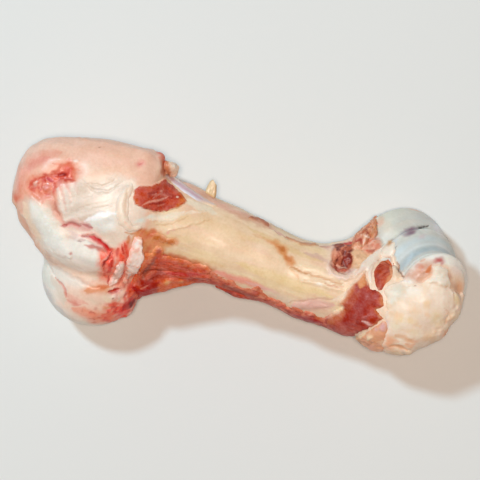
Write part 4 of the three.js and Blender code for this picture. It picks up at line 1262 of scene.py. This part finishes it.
def lump_of(node, relief, seed, angle, grain=0.55, turns=14, size=2.4):
    """A lump taken from its solid, with its facets rounded off and fibrous relief on it."""
    skin = Skin(remeshed(node, grain), 0.7, seed)
    skin.relax(turns=turns)
    skin.settle()
    skin.move(np.full(skin.count, SWELL))
    skin.settle()
    strands = skin.streaks(angle, size, seed, 4)
    skin.move(relief * (strands + 0.8 * rough(skin.p, 4, seed + 2)))
    skin.settle()
    skin.strands = strands
    skin.tint(skin.all, MUSCLE)
    skin.wet[:] = 0.7
    skin.fine[:] = 0.8
    return skin


ORANGE_LOBE = [
    (-37, -20), (-34, -16.4), (-26, -15.4), (-19, -14.8), (-22, -18), (-30, -21.6), (-36, -25),
]


def shaft_meat(skin, strands):
    """The stump's colours, from brown and orange at its neck to maroon at its lower corner."""
    skin.tint(skin.all, "#ce5e46")
    skin.tint(smooth(0, 0.5, strands), "#d87a5e", 0.65)
    skin.tint(smooth(0, 0.5, -strands), "#9c3628", 0.65)
    skin.blotch(5, 112, 0.1, 0.6, "#a43a2c", 0.5)
    skin.tint_lines([
        ([(-47, 5), (-46, -1), (-44, -9)], 5.4, "#e08e62", 0.9),
        ([(-38, -3.6), (-30, -4.4), (-20, -5), (-12, -5.8)], 1.9, "#cf6a42", 0.7),
        ([(-36, -9.4), (-28, -9.6), (-20, -9)], 1.2, "#c65c44", 0.7),
        ([(-41, -10.6), (-38, -12), (-34, -12.2)], 1.6, "#d2705a", 0.75),
        ([(-39.6, 1), (-41.4, -5), (-43, -11), (-46.6, -22)], 1.9, "#a85a46", 0.8),
        # painted sheen: a thin grey-lilac line on the brown left part
        ([(-41, -6), (-43.6, -12), (-45.6, -17)], 0.7, "#a4746c", 0.6),
        ([(-37, -13), (-40, -18), (-43, -24)], 2.4, "#9a3428", 0.7),
        ([(-46.4, -4), (-46.6, -10), (-50, -20), (-54, -24)], 3.0, "#e88460", 0.85),
        ([(-48.6, -6), (-49, -11), (-52, -17)], 0.7, "#edb093", 0.8),
        ([(-34, -13.6), (-26, -12.4), (-16, -10.6)], 1.9, "#b3302a", 0.85),
        ([(-40, -13), (-34, -14.6)], 1.6, "#a8564c", 0.7),
        ([(-46, -17), (-43.6, -21), (-43, -25)], 0.9, "#c08070", 0.7),
        ([(-45.6, -9), (-46.6, -14)], 2.2, "#de8c6c", 0.8),
        ([(-46, -20), (-41, -23), (-37, -19)], 4.2, "#a8281e", 0.9),
        ([(-50, -24), (-45, -26), (-39, -25)], 3.6, "#b01612", 0.95),
        ([(-46, -24), (-42, -21.6)], 0.7, "#c77c66", 0.6),
        ([(-14, -8.4), (-11, -10), (-9, -12)], 2.0, "#c4684a", 0.7),
    ])
    skin.tint_area(ORANGE_LOBE, 2, "#e4744a", 0.85)
    skin.tint_spots([
        (-32.8, -18.4, 2.6, 1.5, 20, "#f0b27a", 0.9),
        (-26, -16.6, 2.6, 1.2, 24, "#e59a62", 0.8),
    ])


SPREAD = [
    (-48.6, -4), (-44, -4.6), (-42, -0.6), (-39.4, -0.4), (-37, -4.6), (-30, -4.8), (-22, -5.4),
    (-14.6, -5.4), (-10.6, -7.2), (-14, -11), (-18, -16), (-28, -22), (-38, -28), (-46, -30),
    (-51, -30), (-51, -20), (-48.6, -12),
]
spread = layer_on(
    bone, SPREAD, thick=1.8, bottom=24, soften=6, edge=0.05, wander=0.8, seed=107, ragged=1.0
)
sx, sy = spread.seen.T
steep = smooth(-35, -41, sx)  # its fibres turn down toward the neck
turned = spread.streaks(62, 1.5, 108, 7) * steep + spread.streaks(-10, 1.5, 109, 7) * (1 - steep)
raise_top(spread, 0.45 * turned + 0.4 * rough(spread.p, 4, 110))
shaft_meat(spread, turned)
thin = smooth(2.0, 0.1, spread.depth + 1.6 * turned)
fade(spread, thin * smooth(-14, -9, sy) * smooth(-50, -46, sx))
SPREAD_WARMTH = (1.1, 1.02, 1.0)  # it is redder where it lies thin
spread.colour *= SPREAD_WARMTH
spread.wet[:] = 0.7
spread.fine[:] = 0.8
fit("shaft_muscle_spread", spread, flesh, "meat", "meat_shaft")

big = lump_of("meat_shaft", relief=0.6, seed=111, angle=22)
bx, by = big.seen.T
big.p[:, 1] += STUMP_TUCK * smooth(-11, -19, by) * smooth(-47, -38, bx) * smooth(-6, -16, bx)
big.p[:, 2] -= SUNK * smooth(-13.5, -8.5, by + 0.9 * big.strands)
big.place(0.7, 111)
shaft_meat(big, big.strands)
fit("shaft_muscle", big, flesh, "meat", "meat_shaft")

# The ragged strip that the knife left along the shaft's lower edge: shreds of muscle and fascia,
# spread thin over the bone and thicker where they hang off its side.
STRIP_TUCK = 1.9  # mm, how far its free side is pressed to the shaft
STRIP = [
    (-13, -7.6), (-6, -9.6), (0, -9.8), (4, -11.4), (8, -11.6), (12, -10.4), (15.4, -10.8),
    (17.4, -13.2), (25, -14.8), (30, -16.8), (36, -16.6), (45, -17.8), (51, -17.4), (57, -16),
    (62, -24), (62, -32), (40, -27), (20, -22), (0, -20), (-13, -18),
]
strip = layer_on(
    bone, STRIP, thick=1.1, bottom=20, soften=2.6, edge=0.25, wander=0.9, seed=133, ragged=2.0
)
knots = rough(strip.p, 3.2, 134)
raise_top(strip, 0.45 * knots + 0.3 * strip.streaks(-8, 1.6, 135))
strip.tint(strip.all, "#d2624a")
shreds_low = strip.streaks(-12, 1.5, 139, 3)
strip.tint(smooth(0.0, 0.4, shreds_low), "#8e2f22", 0.7)
strip.tint(smooth(0.1, 0.5, -shreds_low), "#e08c6c", 0.6)
strip.blotch(4.5, 136, 0, 0.4, "#a23c2c", 0.7)
strip.blotch(3.0, 137, 0.15, 0.5, "#e39a78", 0.8)
strip.tint_lines([
    ([(34, -19.6), (42, -20.6), (50, -20.4)], 1.7, "#a82f38", 0.8),
    ([(-4, -12), (2, -14), (10, -14.4), (15, -14)], 2.0, "#9c3f28", 0.7),
    ([(-12, -12), (-5, -13)], 1.4, "#c14e3c", 0.7),
])
strip.tint(smooth(1.6, 0.2, strip.depth + 0.5 * knots) * strip.up, "#da8464", 0.8)
fit("shaft_scraps_spread", strip, flesh, "meat", "meat_strip")

scraps = lump_of("meat_strip", relief=0.8, seed=115, angle=-8)
lower = smooth(6, 18, scraps.p[:, 0]) * smooth(66, 56, scraps.p[:, 0])
scraps.p[:, 1] += STRIP_TUCK * lower * smooth(-12, -18, scraps.p[:, 1])
scraps.place(0.7, 115)
scraps.blotch(4, 116, 0, 0.6, "#93332a", 0.8)
scraps.blotch(5, 117, 0.1, 0.6, "#dd8a63", 0.7)
fit("shaft_scraps", scraps, flesh, "meat", "meat_strip")

# At the elbow a larger stump, cut smooth across its fibres. It has dried brown-orange at its
# upper tip and left edge.
STUMP = [
    (66, 10), (63, 6.4), (60.4, 2), (58.2, -2), (57.6, -6), (54.6, -9.6), (55, -11.4), (57.4, -12),
    (54.4, -14.4), (51.6, -17.6), (50.6, -19.6), (47, -20.2), (49, -32), (63, -36), (66, -26),
    (70, -22.4), (73.6, -20.4), (75.4, -18.6), (77.6, -17), (79.6, -14.6), (81, -13.4), (78, -11.8),
    (75.6, -9.8), (79.4, -7.6), (78.4, -4), (77, -1.4), (73.4, 1.2), (70.4, 0.6), (68.4, 4),
]
stump = layer_on(
    bone, STUMP, thick=2.2, bottom=16, soften=7, edge=0.16, wander=0.6, seed=78, ragged=0.9
)
muscle(stump, angle=66, seed=79, relief=0.14)
sx, sy = stump.seen.T
stump.tint(stump.all, "#a83c30", 0.65)
stump.wet[:] = 0.35  # its cut face is drier than the rest
stump.blotch(1.8, 77, 0.1, 0.5, "#c9604c", 0.6)
stump.tint(smooth(0.1, 0.5, -rough(stump.p, 1.8, 77)), "#8c2c28", 0.5)
stump.tint_spots([
    (68, -8, 6, 13, 12, "#a23a36", 0.75),
    (62, -18, 5, 9, -20, "#a8403b", 0.7),
    (72, -5, 4.4, 4.4, 0, "#a54034", 0.6),
    (68, -4, 3.4, 6, 10, "#a43a2e", 0.6),
])
stump.tint_lines([
    ([(66, 9), (65.4, 4.6), (65, 0)], 5, "#dd9660", 0.95),
    ([(61.6, 3), (60, -3), (58.4, -8), (56, -12)], 3.2, "#c86c3e", 0.95),
    ([(65, -2), (62, -8), (60, -14)], 3.0, "#b45238", 0.7),
    ([(59.6, -12.6), (56.6, -16), (53, -20)], 4.2, "#d07a58", 0.85),
    ([(77.4, -3), (78.2, -7)], 2.2, "#d07c50", 0.8),
    ([(77, -11.6), (80, -13.2)], 1.3, "#cc846c", 0.8),
    ([(74.6, 0), (77.6, -2.6)], 1.3, "#c2603c", 0.6),
    ([(50, -21), (55, -23.6), (61, -27)], 1.6, "#c8604a", 0.6),
    ([(56, -18), (62, -22), (68, -22)], 3.4, "#cf6a58", 0.6),
    ([(70, -15.6), (73, -17), (76.6, -17.8)], 0.9, "#dcb0a6", 0.9),
    ([(69.6, -14), (73, -12.4), (77, -12.6)], 0.7, "#c0706a", 0.6),
    ([(64, -27.6), (68, -24.6), (72, -22)], 0.9, "#dc9c74", 0.8),
])
slit = stump.line([(69, -14.6), (73, -16), (77, -17)], 0.9)
raise_top(stump, 2.4 * stump.spot(62, -27.4, 5, 5) - 0.6 * slit)
fade(stump, smooth(2.2, 0.1, stump.depth) * smooth(65, 61, sx) * smooth(-20, -14, sy))
fade(stump, smooth(1.2, 0.1, stump.depth) * smooth(0, 4, sy))
stump.tint(smooth(1.3, 0.1, stump.depth) * smooth(73, 76, sx), "#d08860", 0.7)
fit("elbow_muscle", stump, flesh, "meat", "meat_elbow")

# A pointed sliver of the same muscle, cut loose along the spool's inner ring. Its fibres run
# along it, and it has dried orange at its edge.
SLIVER = [
    (70, 9.4), (70.8, 12.8), (72.8, 16), (76.2, 17.8), (78.6, 15.4), (80.4, 10.4), (80, 7),
    (78, 4.8), (76.8, 1), (74.4, -0.2), (72.2, 2.8), (70.8, 6),
]
sliver = layer_on(bone, SLIVER, thick=1.3, bottom=36, soften=2.4, edge=0.3, wander=0.35, seed=82)
muscle(sliver, angle=62, seed=83)
sliver.tint(sliver.all, "#b8533a", 0.7)
fine_strands = sliver.streaks(64, 1.3, 138, 5)
sliver.tint(smooth(0.0, 0.4, fine_strands), "#d2714e", 0.6)
sliver.tint(smooth(0.0, 0.4, -fine_strands), "#98352a", 0.6)
sliver.tint(sliver.line([(78.4, 15), (79.8, 9), (77.4, 3)], 1.7), "#dc9a70", 0.9)
sliver.tint(sliver.spot(74.6, 0.6, 1.3, 1.6, 0), "#e2ab92", 0.8)
sliver.tint_lines([
    ([(72, 13.6), (75.6, 16.6), (78, 15)], 1.9, "#c86a42", 0.8),
    ([(72.6, 8), (75, 3)], 1.3, "#a8423a", 0.7),
])
fit("elbow_sliver", sliver, flesh, "meat", "meat_sliver")

# A crumbled tuft of fibres where a ligament was torn off the inner knuckle, frayed to a spike.
TUFT_PRESSED = (2.2, -1.8, -1.0)  # mm, how it was pushed against the knuckle
TUFT_THIN = 0.76  # its width, against the solid's
TUFT_MIDDLE = 57.0  # mm, the line it is narrowed to
TUFT_SPIKE = 65.6  # mm, the middle line of its spike
SPIKE_THIN = 0.45  # how much of the spike's width is taken away
tuft = lump_of("fibres_elbow", relief=1.5, seed=119, angle=60, grain=0.55, turns=20, size=3.2)
tuft.move(0.9 * rough(tuft.p, 1.8, 118))
tuft.p += TUFT_PRESSED
tuft.p[:, 0] = TUFT_MIDDLE + (tuft.p[:, 0] - TUFT_MIDDLE) * TUFT_THIN
spike = smooth(27, 35, tuft.p[:, 1])
tuft.p[:, 0] += (TUFT_SPIKE - tuft.p[:, 0]) * SPIKE_THIN * spike
tuft.settle()
tuft.place(0.7, 119)
fuzz = tuft.streaks(72, 1.4, 120, 5)
tuft.tint(tuft.all, "#da9b78")
tuft.blotch(2.8, 121, 0.0, 0.5, "#cf7f62", 0.7)
tuft.tint(smooth(0.0, 0.4, fuzz), "#f2cfb2", 0.75)
tuft.tint(tuft.spot(60, 24.4, 3, 3, 0), "#d07458", 0.7)
tuft.tint(smooth(0.1, 0.5, -fuzz), "#b8694c", 0.75)
tuft.tint_lines([
    ([(64.8, 24), (65.6, 30), (66.4, 37)], 1.2, "#d59a70", 0.8),
    ([(62, 27), (64, 26)], 1.0, "#f9e6da", 0.8),
    ([(61.6, 25), (62.4, 21.6)], 0.8, "#f6dccb", 0.8),
    ([(62.4, 30), (62.8, 26.6)], 0.9, "#a84a38", 0.8),
    ([(66.4, 22.4), (66.8, 19.4)], 1.2, "#b5553f", 0.8),
    ([(57.6, 22.4), (59.6, 24), (61, 22)], 1.5, "#a8402e", 0.85),
    ([(60, 27.4), (61.4, 30), (63.4, 32)], 1.1, "#b8654a", 0.8),
])
fit("elbow_fibres", tuft, flesh, "meat", "fibres_elbow")

# ---------------------------------------------------------------------------------------------
# Fat: a firm cream pad over the elbow's outer knuckle, a torn flap of it below the muscle, and
# a soft roll round the neck.

PAD = [
    (76.6, 1.4), (78.6, 4.6), (82, 6.8), (86, 8.4), (91, 9.4), (95, 10.6), (98, 13), (99, 18.6),
    (102, 20), (107.4, 19), (109, 12.4), (110.6, 9.4), (114, 8), (118.6, 8.6), (122, -8),
    (118, -22), (106, -34), (92, -40), (84, -36), (80, -26), (82, -18), (80.6, -12), (80, -8),
    (78.4, -2),
]
# The upright lobe in the pad's upper edge.
BLOCK = [(99.4, 9), (99.4, 18.6), (102, 20), (107, 18.8), (109, 12.6), (109.6, 9.6), (104, 8.4)]
pad = layer_on(
    bone, PAD, thick=2.2, bottom=22, soften=5, edge=0.12, wander=0.7, seed=85, ragged=0.4
)
px, py = pad.seen.T
lobes = rough(pad.p, 9, 86)
raise_top(pad, 0.5 * lobes + 0.2 * rough(pad.p, 3, 87))
block_side = pad.line([(107.8, 19), (109.4, 14), (110.4, 10)], 0.9)
raise_top(pad, 1.4 * pad.area(BLOCK, 2.4) - 0.8 * block_side)
for points, width, height in [
    ([(86, -20.6), (92, -19.6), (97, -20.4)], 1.4, -0.3),
    ([(84, -27.6), (88, -26), (93, -26.4)], 2.2, 0.6),
    ([(86, -24.8), (90, -23.8), (95, -24)], 1.0, -0.35),
    ([(98, -24), (103, -22), (108, -18)], 1.2, -0.3),
    ([(112, 8), (112.6, 0), (110, -8)], 1.2, -0.4),
    ([(100, 8.4), (104, 8.8), (109, 8.4)], 0.8, -0.35),
    ([(80, 3), (88, 5.6), (96, 7)], 2.4, 0.4),
]:
    raise_top(pad, height * pad.line(points, width))
raise_top(pad, 0.9 * pad.spot(95, -25, 2.4, 1.5, 0) + 0.5 * pad.spot(104, -22, 3, 2, 20))
raise_top(
    pad,
    3.4 * pad.spot(111, -16, 9, 10, -30, 1.0)
    + 1.4 * pad.spot(96, -28, 12, 6, 10, 1.0)
    + 2.0 * pad.spot(116, -3, 6, 10, 0, 1.0)
    + 1.2 * pad.spot(116, -10, 4, 6, 0, 1.0),
)
pad.tint(pad.all, "#f1dfca")
pad.tint(smooth(-0.1, 0.6, lobes), "#f2dcc0", 0.6)
pad.blotch(6, 88, 0.1, 0.6, "#f0d5b6", 0.5)
pad.tint_spots([
    (85, 1.6, 8.6, 5.6, 30, "#ddd9c8", 0.95),
    (83, -4, 3.4, 3.6, 0, "#e3e2d4", 0.8),
    (93, 3, 6, 4, 0, "#f2eadb", 0.7),
    (104, 4, 6, 4.6, 0, "#f1e1cd", 0.8),
    (95.6, -5.6, 4, 2.6, 0, "#f2d5b4", 0.7),
    (91, -11, 8, 3.2, 8, "#f1d5a4", 0.85),
    (106, -7, 4.4, 5, 0, "#eddcb2", 0.7),
    (87, -15, 5, 3.4, 0, "#efe2c6", 0.8),
    (97, -16, 5, 3, 10, "#eedfbe", 0.7),
    (109.6, -13, 2.6, 5.0, -30, "#f0a468", 0.9),
    (110.4, -12, 1.4, 2.6, -30, "#e8904e", 0.7),
    (114.6, 9.6, 3.6, 3.0, 30, "#e0a06e", 0.85),
    (96, -19.6, 5, 2, 6, "#e3b08c", 0.7),
    (88, -9, 4, 2.4, 20, "#eec996", 0.5),
    (100, -1, 3, 2.4, 0, "#efcf9c", 0.5),
    (113, 4, 2.6, 4, 0, "#efdaae", 0.8),
    (114.6, -4, 2.6, 5, 0, "#efe0c2", 0.7),
    (95, -25, 2.4, 1.6, 0, "#f5dcb8", 0.8),
    (104, -23, 4, 2.4, 20, "#eec39c", 0.7),
    (82, -16, 2.6, 4.6, 10, "#d9aeb0", 0.75),
    (85, -23.4, 5, 5.4, 0, "#e8a67c", 0.85),
    (104, -16, 5, 4, 20, "#f4d2a8", 0.7),
    (89, -26.6, 4.6, 2, 6, "#fde0b8", 0.8),
    (96, -26, 3.4, 1.8, 10, "#ffe6c4", 0.85),
    (91.4, -23.8, 5, 1.5, 4, "#e6a878", 0.75),
])
pad.tint(smooth(0.1, 0.5, rough(pad.p, 3.4, 84)) * smooth(12, -4, py), "#ecc79c", 0.45)
pad.tint(smooth(0.1, 0.5, -rough(pad.p, 3.4, 84)), "#f8eedc", 0.5)
pad.tint_area(BLOCK, 2, "#ece4d3", 0.9)
pad.tint(smooth(0.1, 0.9, rough(pad.p, 6, 89)) * smooth(40, 20, pad.p[:, 2]), "#efb996", 0.5)
pad.tint_lines([
    ([(87, -19.6), (92, -18.8), (97, -20.6)], 1.8, "#e4b68a", 0.65),
    ([(93, -21.4), (96, -22.4), (98, -21)], 1.5, "#dca57c", 0.7),
    ([(84, -21.6), (90, -21.6)], 1.8, "#eab894", 0.6),
    ([(84, -28), (90, -26.6), (94, -26)], 1.4, "#f3d8b4", 0.8),
    ([(86, -24.8), (90, -23.8), (95, -24)], 0.8, "#d39c74", 0.6),
    # painted shade: a dark line down the block's right side, where it drops away from the lamp
    ([(107.6, 18.6), (109.2, 14), (110, 10.4)], 0.7, "#8f7a6c", 0.85),
    ([(108, -1), (111, -2), (113, -4.6)], 0.6, "#d9b48c", 0.5),
    ([(100, 9), (104, 8.6), (109, 8.8)], 0.6, "#d8b898", 0.6),
    ([(98.4, 12), (98.8, 15), (98.8, 18)], 0.9, "#dd8f60", 0.8),
    ([(110.8, 10), (113, 9.4)], 0.8, "#c98d60", 0.6),
])
fade(pad, smooth(1.6, 0.1, pad.depth) * smooth(2, 8, py) * smooth(101, 97, px))
fade(pad, smooth(1.4, 0.1, pad.depth) * smooth(108, 111, px) * smooth(5, 9, py))
fade(pad, smooth(5, 0.5, pad.hem))
# painted light: the pad's steep lower side, which the lamps light less, is made lighter
pad.colour *= (1 + 0.3 * smooth(0.8, 0.4, pad.n[:, 2]) * smooth(8, -4, py))[:, None]
pad.fine[:] = 0.5
pad.rim_light = 0.8  # more painted light on the fat's steep rim
fit("elbow_fat", pad, fat, "fat", "fat_pad")

# The flap hangs off the pad, below the big muscle: fat with torn fibres through it, and a deep
# cleft that a knife left.
FLAP = [
    (64, -29), (67, -25.6), (71, -22.8), (74.6, -20), (76.4, -18), (80, -14.6), (84, -15),
    (85, -24), (86, -38), (72, -38), (62, -33),
]
CLEFT = [(69, -28.6), (74, -29.8), (80, -30.8)]
flap = layer_on(
    bone, FLAP, thick=1.8, bottom=26, soften=3, edge=0.3, wander=0.7, seed=91, ragged=0.5
)
raise_top(flap, 0.5 * flap.streaks(-16, 2.6, 92, 4) + 0.45 * rough(flap.p, 2.4, 141))
raise_top(flap, 1.6 * flap.spot(78, -30, 8, 5) - 1.2 * flap.line(CLEFT, 0.9))
ledge = flap.line([(64, -27), (68, -25.2), (72, -23.4)], 1.2)
raise_top(flap, 1.0 * flap.spot(75.6, -22.4, 3.0, 2.0, 40) + 0.7 * ledge)
flap.tint(flap.all, "#e4a67f")
flap.blotch(4, 93, 0, 0.6, "#e0a88c", 0.6)
flap.blotch(3, 94, 0.1, 0.6, "#f0d3b0", 0.7)
flap.blotch(1.7, 140, 0.1, 0.5, "#c98a68", 0.5)
flap.tint_spots([
    (75.6, -22.4, 3.0, 2.2, 40, "#f2dcb8", 0.9),
    (81, -17, 3.0, 2.6, -20, "#d9b0b4", 0.8),
    (78, -18.4, 2.0, 1.2, 0, "#dcb4b0", 0.7),
    (77.6, -27, 3.6, 1.6, -10, "#e6a68c", 0.7),
    (79, -10.4, 2.4, 1.1, -8, "#f5ecdd", 0.9),
])
flap.tint_lines([
    ([(65, -26.4), (69, -24.4), (73, -22)], 1.2, "#e8cfa6", 0.85),
    ([(66, -27.8), (70, -26), (73, -25.4)], 0.8, "#b07a54", 0.6),
    ([(72.6, -25.4), (76, -26), (79, -24)], 0.7, "#b5744f", 0.7),
    (CLEFT, 0.7, "#7a342a", 0.9),
    ([(72, -27.6), (76, -28.4), (80, -29)], 0.8, "#f1d2b4", 0.8),
    ([(80, -31), (84, -30)], 1.6, "#d99a68", 0.7),
])
# painted light: a little lighter all over, and more towards its lower side, which faces away from
# the lamps
flap.colour *= (1.03 + 0.16 * smooth(-23, -28, flap.seen[:, 1]))[:, None]
fade(flap, smooth(4, 0.5, flap.hem))
fit("elbow_flap", flap, fat, "fat", "fat_flap")

# The roll is a loose fold of fat between the neck's muscle and the capsule, whose own skin runs
# into it, so its rim thins out to nothing.
ROLL = [
    (-60.6, 29.4), (-65, 26), (-67.4, 19), (-67.2, 11), (-64, 5.4), (-58.6, 2.6), (-53, 4),
    (-49.8, 6.6), (-52.4, 8.2), (-56.4, 7.6), (-58.8, 10), (-59.4, 15), (-60.4, 20), (-59.4, 25),
]
GROOVE = [(-63.6, 26), (-62, 19), (-61.4, 13), (-58.6, 8.6)]
roll = layer_on(bone, ROLL, thick=1.2, bottom=36, soften=5, edge=0.05, wander=0.5, seed=123)
raise_top(roll, 0.25 * rough(roll.p, 3, 125))
raise_top(roll, -0.3 * roll.line(GROOVE, 1.2))
roll.tint(roll.all, "#f2dfc9")
roll.blotch(5, 124, 0, 0.7, "#efd2b6", 0.6)
roll.tint_lines([
    (GROOVE, 0.8, "#dcb797", 0.6),
    ([(-66, 20), (-66, 12), (-62.6, 6)], 1.3, "#ecd0b6", 0.7),
    ([(-62, 4.6), (-57, 3.4), (-52, 5)], 1.0, "#dfbe9f", 0.7),
    ([(-64.6, 22), (-64, 14), (-60.6, 7.6)], 1.1, "#f9ebda", 0.8),
    ([(-61, 8), (-57.6, 5.4)], 1.4, "#f3cdb6", 0.6),
])
fade(roll, smooth(2.4, 0.1, roll.depth))
fade(roll, smooth(2.2, 0.1, roll.depth) * smooth(22, 28, roll.seen[:, 1]))
roll.fine[:] = 0.3
fit("neck_fat", roll, fat, "fat", "fat_fold")

# ---------------------------------------------------------------------------------------------
# Sinew and torn skin: the white ligament at the elbow, the silver tendon on the shaft's upper
# edge, the strips hanging off the torn capsule, the cuff at the tubercle and one loose tag.

# The ligament: dense white collagen, grown fast to the bone between the pit and the spool.
LIGAMENT = [
    (59.6, 2), (60.6, 7), (63, 12.6), (66, 17), (70, 21.4), (73.4, 25.4), (77.6, 27), (79.4, 22.6),
    (78.6, 17.6), (76, 17.6), (73, 17), (70.4, 13.6), (69.6, 9.6), (70.6, 5), (70.2, 1), (67.6, 6),
    (66, 9.4), (63.6, 6),
]
band = layer_on(bone, LIGAMENT, thick=1.2, bottom=36, soften=2, edge=0.3, wander=0.45, seed=95)
fibres = band.streaks(48, 1.6, 96)
raise_top(band, 0.2 * fibres)
band.tint(band.all, "#efe3d2")
band.tint(smooth(0, 0.6, fibres), "#e6cdb6", 0.6)
band.blotch(5, 97, 0, 0.9, "#efd6c8", 0.5)
band.tint_spots([
    (64, 10, 3, 4, 30, "#efdccf", 0.6),
    (61, 8, 2.4, 3, 0, "#e9cfc4", 0.7),
    (72.6, 20.6, 4, 2, 40, "#f3e9d8", 0.8),
    (77, 21.6, 1.6, 2.6, 0, "#f0ead8", 0.7),
    (75.4, 25.6, 2.3, 2.8, -10, "#c8935a", 0.95),
])
band.tint_lines([
    ([(68.4, 12.6), (67, 8), (65, 4)], 0.8, "#dcbfa6", 0.6),
    ([(71, 15.4), (74.6, 17), (77.6, 18.6)], 0.7, "#c9a387", 0.7),
])
sx, sy = band.seen.T
fade(band, smooth(1.2, 0.1, band.depth) * smooth(14, 8, sy) * smooth(66, 61, sx))
fit("ligament", band, sinew, "sinew", "ligament_band")

# The tendon: a thin silvery strip that lies along the shaft's upper edge and dives into it.
TENDON = [
    (-46, 35.2), (-44, 37.4), (-38, 35.4), (-30, 31.8), (-20, 27.8), (-13, 25.6), (-18, 24.4),
    (-26, 25.8), (-34, 28.6), (-41, 32.2),
]
tendon = layer_on(bone, TENDON, thick=0.9, bottom=38, soften=1.4, edge=0.3, wander=0.3, seed=99)
raise_top(tendon, 0.12 * tendon.streaks(-22, 1.2, 100))
tendon.tint(tendon.all, "#d6c4c0")
tendon.tint_lines([
    ([(-43, 34.4), (-34, 30.6), (-24, 27)], 1.2, "#c6a4b2", 0.8),
    ([(-43, 33.2), (-34, 29.2), (-24, 26)], 0.9, "#d6d4de", 0.9),
    ([(-43.6, 36.6), (-34, 33), (-24, 29)], 1.1, "#cfa896", 0.85),
    # painted highlight: a white line along the tendon's upper edge
    ([(-44, 35.6), (-41, 34.6), (-37, 32.8)], 0.6, "#f6f2ee", 0.9),
])
fade(tendon, smooth(1.0, 0.0, tendon.depth) * smooth(-28, -20, tendon.seen[:, 0]))
fit("front_tendon", tendon, sinew, "sinew", "tendon")

# Two strips of the joint capsule, torn off with the shoulder blade: wet and stringy, clear at
# their edges, with blood at their roots.
RIBBON_LIP = 2.6  # mm, how far the flap's free edge stands up
RIBBON = [
    (-54.8, 2), (-50, 2.4), (-48.8, -3), (-46.8, -8), (-49, -12.4), (-51.6, -17), (-53.4, -22.8),
    (-55.6, -23.4), (-55, -17), (-56.2, -12), (-55.6, -7), (-54.8, -3),
]
STRAND = [
    (-58.6, -11.6), (-55.6, -13), (-56, -20), (-58.2, -25.4), (-62, -27.4), (-61.8, -22),
    (-60, -17),
]
for name, node, points, seed in [
    ("capsule_flap_torn", "capsule_flap", RIBBON, 102),
    ("capsule_strip_torn", "capsule_strip", STRAND, 104),
]:
    torn = layer_on(
        bone, points, thick=1.0, bottom=30, soften=1.2, edge=0.5, wander=0.6, seed=seed, ragged=0.9
    )
    grain = torn.streaks(-74, 1.4, seed + 3)
    lip = RIBBON_LIP * smooth(-56, -48, torn.seen[:, 0]) * (node == "capsule_flap")
    raise_top(torn, 0.35 * grain + lip)
    # full painted light on the strips' steep sides
    torn.rim_light = 1.0
    torn.tint(torn.all, "#ffeade")
    torn.tint(smooth(0, 0.5, grain), "#f6b8a2", 0.8)
    torn.tint(smooth(1.3, 0.2, torn.depth), "#f2a890", 0.6)
    torn.tint(smooth(0.1, 0.6, -grain), "#fff8f2", 0.7)
    torn.tint(torn.spot(-52.4, 3.0, 4.4, 3.4, 0), "#e0a67e", 0.85)
    torn.tint_lines([
        ([(-60, -14), (-58.4, -19), (-60.6, -25)], 1.4, "#fbd3c4", 0.6),
        ([(-50, -2), (-48.6, -7), (-50.6, -13)], 0.9, "#f7e3d8", 0.8),
    ])
    torn.bleed(smooth(0.7, 0.0, torn.depth) * smooth(0.0, 0.6, rough(torn.p, 3, seed + 5)), 0.6)
    torn.bleed(torn.line([(-54, -20), (-53.4, -23.4)], 1.2), 0.5)
    fit(name, torn, sinew, "sinew", node)

# The cuff: capsule torn up behind the tubercle, orange-brown where it was cut, cream beyond.
CUFF_TOP = 42.6  # mm, where the flap's upper edge was cut
cuff = lump_of("cuff_flap", relief=0.9, seed=127, angle=80, grain=0.45, turns=8, size=1.9)
cuff.p[:, 1] = np.minimum(cuff.p[:, 1], CUFF_TOP + 0.4 * rough(cuff.p, 2, 129))
cuff.move(0.5 * rough(cuff.p, 1.6, 126))
cuff.place(0.7, 127)
cuff.tint(cuff.all, "#ffe0c4")
cuff.blotch(4, 128, 0, 0.7, "#ecc8ae", 0.6)
cuff.tint(cuff.line([(-47.4, 45), (-45.8, 42), (-44.6, 39), (-43.4, 35.6)], 2.6), "#c4724a", 0.95)
cuff.tint(cuff.spot(-41.4, 41.2, 2.2, 3.4, 0), "#fff0de", 0.9)
cuff.bleed(cuff.spot(-47.6, 42.8, 2.2, 2.4, 0), 0.75)
fit("crest_cuff", cuff, sinew, "sinew", "cuff_flap")

# The tag: a leaf of fascia and fat that stands up off the shaft's upper edge.
TAG_AT = -20.4  # mm, the tag's middle line
TAG_THIN = 0.86  # its width, against the solid's
TAG_PEAK = (-20.6, 38.6)  # mm, its tip
TAG_SLOPE = 1.1  # how steeply its end falls away from the tip
tag = lump_of("tissue_tag", relief=0.3, seed=131, angle=85, grain=0.35, turns=10, size=1.4)
tag.p[:, 0] = TAG_AT + (tag.p[:, 0] - TAG_AT) * TAG_THIN
end = TAG_PEAK[1] - TAG_SLOPE * np.abs(tag.p[:, 0] - TAG_PEAK[0]) + 0.3 * rough(tag.p, 2, 130)
tag.p[:, 1] = np.minimum(tag.p[:, 1], end)
tag.place(0.4, 131)
tag.tint(tag.all, "#ccb488")
tag.blotch(3, 132, 0, 0.9, "#d6b484", 0.6)
# painted shade on the tag's right side and painted light on its left, as the lamp falls on it
tag.tint(smooth(-20.6, -19, tag.p[:, 0]), "#cfab7c", 0.6)
tag.tint(smooth(-21.6, -22.6, tag.p[:, 0]), "#dccba4", 0.6)
fit("edge_tag", tag, sinew, "sinew", "tissue_tag")
